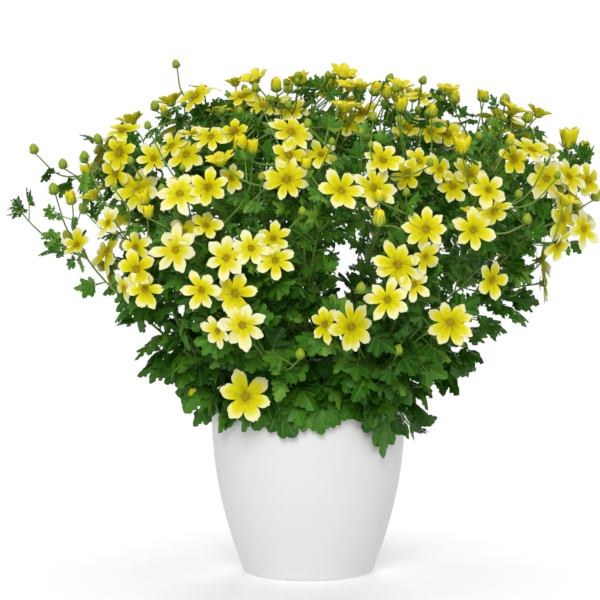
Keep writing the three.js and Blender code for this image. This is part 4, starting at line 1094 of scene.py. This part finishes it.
class Look:
    """A material's node tree, with short ways to add nodes that feed its shader."""

    def __init__(self, name, roughness, specular):
        self.material = bpy.data.materials.new(name)
        self.material.use_nodes = True
        self.tree = self.material.node_tree
        self.shader = self.tree.nodes["Principled BSDF"]
        self.uniform("Roughness", roughness)
        self.uniform("Specular IOR Level", specular)

    def uniform(self, name, value):
        """A setting that is the same all over the surface, on the shader's own socket."""
        self.shader.inputs[name].default_value = value

    def put(self, socket, value):
        if isinstance(value, Value):
            self.tree.links.new(value.socket, socket)
        elif value is not None:
            socket.default_value = value

    def node(self, kind, inputs, output=0, **settings):
        """A new node's output, once its settings are made and its inputs set or linked."""
        made = self.tree.nodes.new(kind)
        for key, value in settings.items():
            setattr(made, key, value)
        for key, value in inputs.items():
            self.put(made.inputs[key], value)
        return Value(self, made.outputs[output])

    def math(self, operation, a, b=None):
        return self.node("ShaderNodeMath", {0: a, 1: b}, operation=operation)

    def along(self):
        """How far across and along its form a point lies, from 0 to 1."""
        split = self.tree.nodes.new("ShaderNodeSeparateXYZ")
        self.put(split.inputs[0], self.node("ShaderNodeUVMap", {}, uv_map="Along"))
        return Value(self, split.outputs[0]), Value(self, split.outputs[1])

    def tint(self):
        return self.node("ShaderNodeAttribute", {}, "Fac", attribute_name="tint")

    def place(self):
        return self.node("ShaderNodeTexCoord", {}, "Object")

    def noise(self, scale, detail=3.0, roughness=0.55):
        """Cloudy values round 0.5, with this many clouds to a metre."""
        return self.node("ShaderNodeTexNoise", {"Vector": self.place(), "Scale": scale,
                                                "Detail": detail, "Roughness": roughness}, "Fac")

    def ramp(self, value, stops):
        """A colour that runs through stops, each a place and a colour code."""
        colour = self.node("ShaderNodeValToRGB", {0: value})
        band = colour.socket.node.color_ramp
        band.interpolation = "EASE"
        while len(band.elements) < len(stops):
            band.elements.new(0.5)
        for element, (at, code) in zip(band.elements, stops):
            element.position = at
            element.color = rgb(code)
        return colour

    def spread(self, value, low, high, to_low=0.0, to_high=1.0):
        """A value brought from one range to another, smoothly, and held at its ends."""
        return self.node("ShaderNodeMapRange", {0: value, 1: low, 2: high, 3: to_low, 4: to_high},
                         interpolation_type="SMOOTHSTEP")

    def blend(self, share, a, b):
        a, b = (rgb(colour) if isinstance(colour, str) else colour for colour in (a, b))
        return self.node("ShaderNodeMix", {0: share, 6: a, 7: b}, 2, data_type="RGBA")

    def colour(self, value):
        self.put(self.shader.inputs["Base Color"], value)

    def bump(self, height, depth, strength=0.5):
        self.put(self.shader.inputs["Normal"], self.node(
            "ShaderNodeBump", {"Strength": strength, "Distance": depth, "Height": height}))

    def roughness(self, value, low, high):
        self.put(self.shader.inputs["Roughness"], self.spread(value, 0.3, 0.7, low, high))


def petal_look(name, stops):
    """Lemon yellow that turns to cream at the tip and edges, with fine streaks from the foot, and painted
    shade along the middle crease near the foot.
    """
    look = Look(name, 0.6, 0.08)
    u, v = look.along()
    tint = look.tint()
    aside = abs(u - 0.5) * 2.0
    cloud = look.noise(160.0) - 0.5
    fade = v + aside ** 2.0 * 0.16 + cloud * 0.25 + (tint - 0.55) * 0.5
    comb = (u * 56.0).sine()
    streak = look.spread(comb, 0.35, 1.0) * look.spread(v, 0.75, 0.1)
    colour = look.blend(streak * 0.3, look.ramp(fade, stops), "a98f00")
    # Painted shade: a darker gold down the petal's middle crease, strongest near its foot.
    crease_shade = look.spread(aside, 0.22, 0.05) * look.spread(v, 0.8, 0.1, 0.0, 0.22)
    look.colour(look.blend(crease_shade, colour, "bfa205"))
    look.bump(comb, 0.0002, 0.35)
    look.uniform("Subsurface Weight", 0.35)
    look.uniform("Subsurface Radius", (0.004, 0.004, 0.001))
    return look.material


def floret_look():
    """Golden florets, brown at the foot, with dark tips here and there."""
    look = Look("bidens_floret", 0.7, 0.25)
    _, v = look.along()
    cloud = look.noise(900.0, 2.0)
    colour = look.ramp(v * 0.55 + look.tint() * 0.5,
                       [(0.0, "7a6208"), (0.35, "9c8408"), (0.65, "bca40c"), (1.0, "d6c420")])
    look.colour(look.blend(look.spread(cloud, 0.5, 0.66, 0.0, 0.45), colour, "5e4410"))
    look.bump(cloud, 0.0003)
    return look.material


def leaf_look():
    """Fresh green, deeper on some leaflets, with a pale midrib and side veins that run to the teeth. The
    tint also carries painted light that makes leaves high on the plant lighter.
    """
    look = Look("bidens_leaf", 0.45, 0.24)
    u, v = look.along()
    aside = abs(u - 0.5) * 2.0
    cloud = look.noise(90.0, 4.0)
    colour = look.ramp(look.tint() * 0.75 + cloud * 0.35,
                       [(0.05, "0f3a02"), (0.35, "235a06"), (0.65, "427c16"), (0.95, "80ae3a")])
    wave = ((v * 4.0 - aside * 0.9) * (2 * math.pi)).sine()
    veins = look.math("MAXIMUM", look.spread(aside, 0.16, 0.03), look.spread(wave, 0.86, 1.0) * 0.5)
    look.colour(look.blend(veins * 0.22, colour, "8cb244"))
    look.bump(wave * 0.2 - veins, 0.0004, 0.4)
    look.roughness(cloud, 0.34, 0.55)
    return look.material


def stem_look():
    """Light green stems, browner in places, with fine ribs along them."""
    look = Look("bidens_stem", 0.55, 0.4)
    u, _ = look.along()
    colour = look.ramp(look.noise(40.0), [(0.3, "527a1e"), (0.5, "749a34"), (0.7, "8a9a48")])
    look.colour(look.blend(look.noise(500.0, 2.0) * 0.4, colour, "46701c"))
    look.bump((u * 50.0).sine(), 0.0002, 0.3)
    return look.material


def bud_look():
    """Green at the foot and yellow-green above, striped from foot to tip."""
    look = Look("bidens_bud", 0.5, 0.4)
    u, v = look.along()
    stripes = (u * (2 * math.pi * 10)).sine()
    ripe = look.tint() * 0.5 + v * 0.45 + look.noise(200.0) * 0.2
    colour = look.ramp(ripe, [(0.1, "5f8f18"), (0.4, "9db41a"), (0.75, "d0c814"), (1.0, "e2d612")])
    look.colour(look.blend(look.spread(stripes, 0.0, 0.9, 0.0, 0.45), colour, "5c7a28"))
    look.bump(stripes, 0.0003, 0.4)
    return look.material


def pot_look():
    """White moulded plastic with a soft sheen, and a faint unevenness in both."""
    look = Look("pot_white", 0.35, 0.5)
    cloud, fine = look.noise(14.0), look.noise(420.0, 2.0)
    look.colour(look.blend(cloud * 0.8, "e8e8e8", "e2e2e2"))
    look.bump(fine, 0.0001, 0.12)
    look.roughness(cloud * 0.6 + fine * 0.4, 0.3, 0.42)
    return look.material


def soil_look():
    """Dark peat with lighter fibres and grains."""
    look = Look("potting_mix", 0.95, 0.2)
    coarse, fine = look.noise(70.0, 5.0, 0.65), look.noise(600.0, 3.0, 0.7)
    colour = look.ramp(coarse, [(0.3, "1c120b"), (0.5, "33231a"), (0.7, "4b3526")])
    look.colour(look.blend(look.spread(fine, 0.55, 0.75, 0.0, 0.6), colour, "6a4f38"))
    look.bump(coarse + fine, 0.002, 0.7)
    return look.material


PETAL = petal_look("bidens_petal", [(0.0, "988400"), (0.16, "c8bf02"), (0.34, "dcd606"), (0.52, "e6df20"),
                                    (0.64, "eee988"), (0.8, "f0edb2"), (1.0, "f1efc4")])
YOUNG_PETAL = petal_look("bidens_young_petal", [(0.0, "a9b014"), (0.3, "d9cf0a"), (0.7, "ebdf14"),
                                                (1.0, "f1e75a")])
FLORET, LEAF, STEM = floret_look(), leaf_look(), stem_look()
BUD, POT, SOIL = bud_look(), pot_look(), soil_look()


# The pot and its soil

def wall_radius(z):
    """The pot's outside at a height: the rim's radius less a power of the depth below it."""
    return RIM_RADIUS - (RIM_RADIUS - FOOT_RADIUS) * (1 - z / POT_HEIGHT) ** BELL_POWER


def pot_profile():
    """Flat foot, rounded corner, bell-shaped wall, rounded rim, and the wall's inside to the floor."""
    corner = [(wall_radius(FOOT_CORNER) - FOOT_CORNER * (1 - math.sin(a)), FOOT_CORNER * (1 - math.cos(a)))
              for a in np.linspace(0, math.pi / 2, 9)]
    outside = [(wall_radius(z), z) for z in np.linspace(10, POT_HEIGHT - POT_WALL / 2, 30)]
    half = POT_WALL / 2
    rim = [(RIM_RADIUS - half + half * math.cos(a), POT_HEIGHT - half + half * math.sin(a))
           for a in np.linspace(0, math.pi, 11)[1:]]
    inside = [(wall_radius(z) - POT_WALL, z) for z in np.linspace(POT_HEIGHT - 6, POT_FLOOR, 24)]
    return [(0, 0), (30, 0), *corner, *outside, *rim, *inside, (30, POT_FLOOR), (0, POT_FLOOR)]


def crumbly(r, z, angle):
    """Soil rows near the top rise and fall with waves of several lengths."""
    top = np.clip((z - SOIL_TOP + 4) / 4, 0, 1) * np.clip((80 - r) / 10, 0.25, 1)
    x, y = r * np.cos(angle), r * np.sin(angle)
    lumps = (np.sin(x * 0.21 + 1) * np.sin(y * 0.19) + 0.6 * np.sin(x * 0.53 + y * 0.37)
             + 0.5 * np.sin(y * 0.71 - x * 0.44 + 2) + 0.7 * (draw(np.round(x * 7), np.round(y * 7)) - 0.5))
    return r, z + top * (lumps * 0.8 - 1.2)


def soil_profile():
    """A plug that follows the wall, with rings across its top."""
    inset = POT_WALL + FIT_GAP
    wall = [(wall_radius(z) - inset, z) for z in (POT_FLOOR + FIT_GAP, 25, 70, 110)]
    edge = wall_radius(SOIL_TOP) - inset
    top = [(r, SOIL_TOP) for r in np.linspace(edge, 2, 36)]
    return [(0, POT_FLOOR + FIT_GAP), *wall, *top, (0, SOIL_TOP - 1.2)]


# The plant

BLOOMS = place_blooms()
BLOOM_CENTRES, BLOOM_NORMALS, BLOOM_RADII = gather(BLOOMS, "centre normal radius")
BUDS = place_buds()
STEMS = grow_stems()
PATHS = grow_paths(BLOOMS, BUDS)
PATHS += more_buds(PATHS)
BLOOM_SWAY = 0.6
SKYWARD = 0.35
for bloom in BLOOMS:
    i, high = bloom["index"], min(1.0, max(0.0, (bloom["centre"][2] - 290) / 90))
    aside, over = plane_of(bloom["normal"])
    sway = aside * (draw(i, 121) - 0.5) + over * (draw(i, 122) - 0.5)
    bloom["normal"] = unit(bloom["normal"] + sway * BLOOM_SWAY + [0, 0, SKYWARD * high])
BLOOM_NORMALS = gather(BLOOMS, "normal")
LEAVES = (place_leaves(0) + rim_leaves() + place_leaves(1) + place_leaves(2)
          + collar_leaves() + front_rim_leaves() + tuft_leaves())
BOX_LOW, BOX_HIGH = (np.array(corner) / MM for corner in CAD_BOX)
# Leaves stay this far inside the box and this far out in the bush, and off the pot's wall
BOX_ROOM = 3.0
OUTLINE_REACH = 1.12
WALL_ROOM = 7.0
# Depths of near and farther blooms, and the share of each that stays bare in the front view
NEAR_BLOOM, NEAR_BARE = -60, 0.68
FAR_BLOOM, FAR_BARE = 40, 0.35
BLOOM_BEHIND, BLOOM_BEFORE = 3, 20
# Stems nearer and higher than this are seen, and a share of the leaves keeps off them
OPEN_STEM_DEPTH, OPEN_STEM_HEIGHT = -30, 190
OPEN_STEM_ROOM = 2.5
STEMS_SHOWN = 0.4


def aim_leaves(leaves):
    """Turns each blade outwards and its face up and out, hanging more the lower it is on the plant."""
    base, forward, stalk, length, seed, layer = gather(leaves, "base forward stalk length seed layer")
    middle = base + forward * stalk[:, None]
    away = unit((middle - (middle[:, 2:] - SOIL_TOP) * [LEAN, 0, 0]) * [1, 1, 0])
    low = lowness(base[:, 2])
    up = np.array([0, 0, 1.0])
    sag = mix(-0.15, 0.4, low) + 0.5 * (draw(seed, 66) - 0.4)
    ahead = unit(forward + away * 0.35 - up * sag[:, None])
    jitter = np.stack([draw(seed, 45), draw(seed, 46), draw(seed, 67)], -1) - 0.5
    face = away * 0.85 + up * 0.55 + jitter * 1.5
    size = length * mix(0.6, 0.7, low) * np.where(layer > 0, 0.7 + 0.4 * draw(seed, 68), 1)
    for i, leaf in enumerate(leaves):
        if not leaf["fixed"]:
            leaf.update(ahead=ahead[i], face=face[i], low=low[i], size=size[i])


def seen_close(spots, points, within, nearer):
    """Which spots lie within a distance of a point in the front view, and nearer to the eye than it."""
    eye = np.array([EYE_X, -DISTANCE, EYE_Z])
    flat = [(p - eye)[..., [0, 2]] / (p - eye)[..., 1:2] * DISTANCE for p in (spots, points)]
    off = np.linalg.norm(flat[0][:, :, None] - flat[1], axis=-1)
    return (off < within) & (spots[:, :, None, 1] < points[:, 1] + nearer)


# The spots on a leaf that are tested, as shares of its length ahead and aside
LEAF_SPOTS = [(0, 0), (0.5, 0), (1, 0), (0.6, 0.5), (0.6, -0.5), (0.15, 0.55), (0.15, -0.55)]


def keep_leaves(leaves):
    """Drops leaves outside the bush or the box, in the pot's wall, across a bloom, or in front of a
    front bloom or stem. The nearer a bloom is, the more of it stays bare."""
    aim_leaves(leaves)
    base, forward, stalk, ahead, face, size, layer, seed, fixed = gather(
        leaves, "base forward stalk ahead face size layer seed fixed")
    middle = base + forward * stalk[:, None]
    side = unit(np.cross(face, ahead))
    spots = np.stack([middle + (ahead * f + side * g) * size[:, None] for f, g in LEAF_SPOTS], axis=1)
    kept = np.all((spots > BOX_LOW + BOX_ROOM) & (spots < BOX_HIGH - BOX_ROOM), axis=(1, 2))
    kept &= np.max(reach(spots), axis=1) < OUTLINE_REACH
    out = np.hypot(spots[..., 0], spots[..., 1])
    kept &= ~np.any((spots[..., 2] < POT_HEIGHT + 2) & (abs(out - RIM_RADIUS + 2) < WALL_ROOM),
                    axis=1)
    to = spots[:, :, None] - BLOOM_CENTRES
    high = np.sum(to * BLOOM_NORMALS, axis=-1)
    wide = np.linalg.norm(to - high[..., None] * BLOOM_NORMALS, axis=-1)
    across = (high > -BLOOM_BEHIND) & (high < BLOOM_BEFORE) & (wide < BLOOM_RADII + 1)
    depth = BLOOM_CENTRES[:, 1]
    bare = np.where(depth < NEAR_BLOOM, NEAR_BARE, np.where(depth < FAR_BLOOM, FAR_BARE, 0.0))
    bare = bare * BLOOM_RADII
    across |= seen_close(spots, BLOOM_CENTRES, bare, 2)
    stems = np.concatenate([path["points"][3:] for path in PATHS if path["kind"] != "stem"])
    stems = stems[(stems[:, 1] < OPEN_STEM_DEPTH) & (stems[:, 2] > OPEN_STEM_HEIGHT)]
    hiding = (layer > 0) & (draw(seed, 69) < STEMS_SHOWN)
    hides = seen_close(spots, stems, OPEN_STEM_ROOM, 0) & hiding[:, None, None]
    kept &= ~np.any(across, axis=(1, 2)) & ~np.any(hides, axis=(1, 2))
    return [leaf for leaf, good in zip(leaves, kept | fixed) if good]


LEAVES = keep_leaves(LEAVES)
# For each kind of stem: its radius at the foot and at the end, rings and sides
STEM_WIDTHS = {"stem": (2.0, 1.1, 20, 6), "bloom": (1.25, 0.8, 16, 5), "bud": (0.9, 0.6, 12, 5)}


def stem_forms(paths):
    """Tapering tubes along smooth curves, thin at the foot of a branch, and cups behind the blooms."""
    forms = []
    for kind, (first, last, steps, sides) in STEM_WIDTHS.items():
        lines = [smooth(path["knots"], steps) for path in paths if path["kind"] == kind]
        radii = np.linspace(first, last, steps)
        if kind != "stem":
            radii[0] *= 0.5
        if lines:
            forms.append(tubes(np.array(lines), radii, sides))
    held = [path["bloom"] for path in paths if path["kind"] == "bloom"]
    return forms + (calyx_forms(held) if held else [])


make_piece("pot_shell", [lathe(pot_profile(), 96)], [POT], ["pot"], 40)
make_piece("potting_mix", [lathe(soil_profile(), 90, crumbly)], [SOIL], ["soil"], 80)
for s in range(len(STEMS)):
    number = f"{s + 1:02d}"
    node = f"leafy_stem_{number}"
    paths, leaves = ([row for row in rows if row["stem"] == s] for rows in (PATHS, LEAVES))
    make_piece(f"stems_{number}", stem_forms(paths), [STEM], [node])
    make_piece(f"leaves_{number}", leaf_forms(leaves), [LEAF, STEM], [node])
green, yellow = bud_forms([path["bud"] for path in PATHS
                           if path["kind"] == "bud" and path["bud"] is not BUDS[0]])
make_piece("green_buds", green, [BUD])
make_piece("bud_petals", yellow, [YOUNG_PETAL])
for c in range(len(FRONT_CLUSTERS) + len(BACK_CLUSTERS)):
    members = [bloom for bloom in BLOOMS if bloom["cluster"] == c]
    make_piece(f"bloom_group_{c + 1:02d}", [petal_forms(members), *disc_forms(members)],
               [PETAL, FLORET], [f"blooms_{c + 1:02d}"])


# Floor, light and camera

WHITE = (1, 1, 1, 1)
FLOOR_REACH = 24.0
FLOOR_DROP = 0.0006
LIGHT_AIM = np.array([0, 0, 0.25])
SOFT_LIGHT = 0.18


def stage_floor():
    """A pale floor that turns to the white of the surroundings away from the pot."""
    mesh = bpy.data.meshes.new("floor")
    corners = [(0, 0), (1, 0), (0, 1), (-1, 0), (0, -1)]
    mesh.from_pydata([(x * FLOOR_REACH, y * FLOOR_REACH, -FLOOR_DROP) for x, y in corners], [],
                     [(0, 1, 2), (0, 2, 3), (0, 3, 4), (0, 4, 1)])
    look = Look("floor_white", 0.8, 0.2)
    look.colour(look.blend(look.noise(3.0), "f4f4f4", "f0f0f0"))
    look.uniform("Emission Color", WHITE)
    look.uniform("Emission Strength", 0.3)
    far = look.node("ShaderNodeVectorMath", {0: look.place()}, "Value", operation="LENGTH")
    white = look.node("ShaderNodeEmission", {"Color": WHITE, "Strength": 1.0})
    both = look.node("ShaderNodeMixShader", {0: look.spread(far, 0.08, 0.3), 2: white,
                                             1: Value(look, look.shader.outputs[0])})
    look.put(look.tree.nodes["Material Output"].inputs["Surface"], both)
    mesh.materials.append(look.material)
    add_object("floor", mesh)


def add_light(name, place, size, power):
    """A square light that faces the middle of the plant."""
    lamp = bpy.data.lights.new(name, "AREA")
    lamp.size = size
    lamp.energy = power
    light = add_object(name, lamp)
    away = np.array(place) - LIGHT_AIM
    light.location = place
    light.rotation_euler = (math.atan2(math.hypot(away[0], away[1]), away[2]), 0,
                            math.atan2(away[0], -away[1]))


def surround():
    """White surroundings for the camera, and a dim even light from them for everything else."""
    world = bpy.data.worlds.new("surroundings")
    world.use_nodes = True
    nodes, link = world.node_tree.nodes, world.node_tree.links.new
    shown, soft = nodes["Background"], nodes.new("ShaderNodeBackground")
    for made, strength in ((shown, 1.0), (soft, SOFT_LIGHT)):
        made.inputs[0].default_value = WHITE
        made.inputs[1].default_value = strength
    both = nodes.new("ShaderNodeMixShader")
    link(nodes.new("ShaderNodeLightPath").outputs["Is Camera Ray"], both.inputs[0])
    link(soft.outputs[0], both.inputs[1])
    link(shown.outputs[0], both.inputs[2])
    link(both.outputs[0], nodes["World Output"].inputs["Surface"])
    bpy.context.scene.world = world


stage_floor()
add_light("key_light", (-0.25, -2.4, 1.5), 1.2, 44)
add_light("top_light", (0.1, 0.2, 2.2), 1.4, 17)
add_light("back_light", (0.3, 2.3, 1.4), 1.2, 22)
surround()
bpy.context.scene.view_settings.view_transform = "Standard"

FRAME_UNITS = 600
SENSOR = 36.0
frame_width = FRAME_UNITS * UNIT
lens = bpy.data.cameras.new("photo_camera")
lens.sensor_width = SENSOR
lens.lens = SENSOR * DISTANCE / frame_width
lens.shift_x = ((FRAME_UNITS / 2 - AXIS_U) * UNIT - EYE_X) / frame_width
lens.shift_y = ((FLOOR_V - FRAME_UNITS / 2) * UNIT - EYE_Z) / frame_width
camera = add_object("photo_camera", lens)
camera.location = (EYE_X * MM, -DISTANCE * MM, EYE_Z * MM)
camera.rotation_euler = (math.pi / 2, 0, 0)
bpy.context.scene.camera = camera
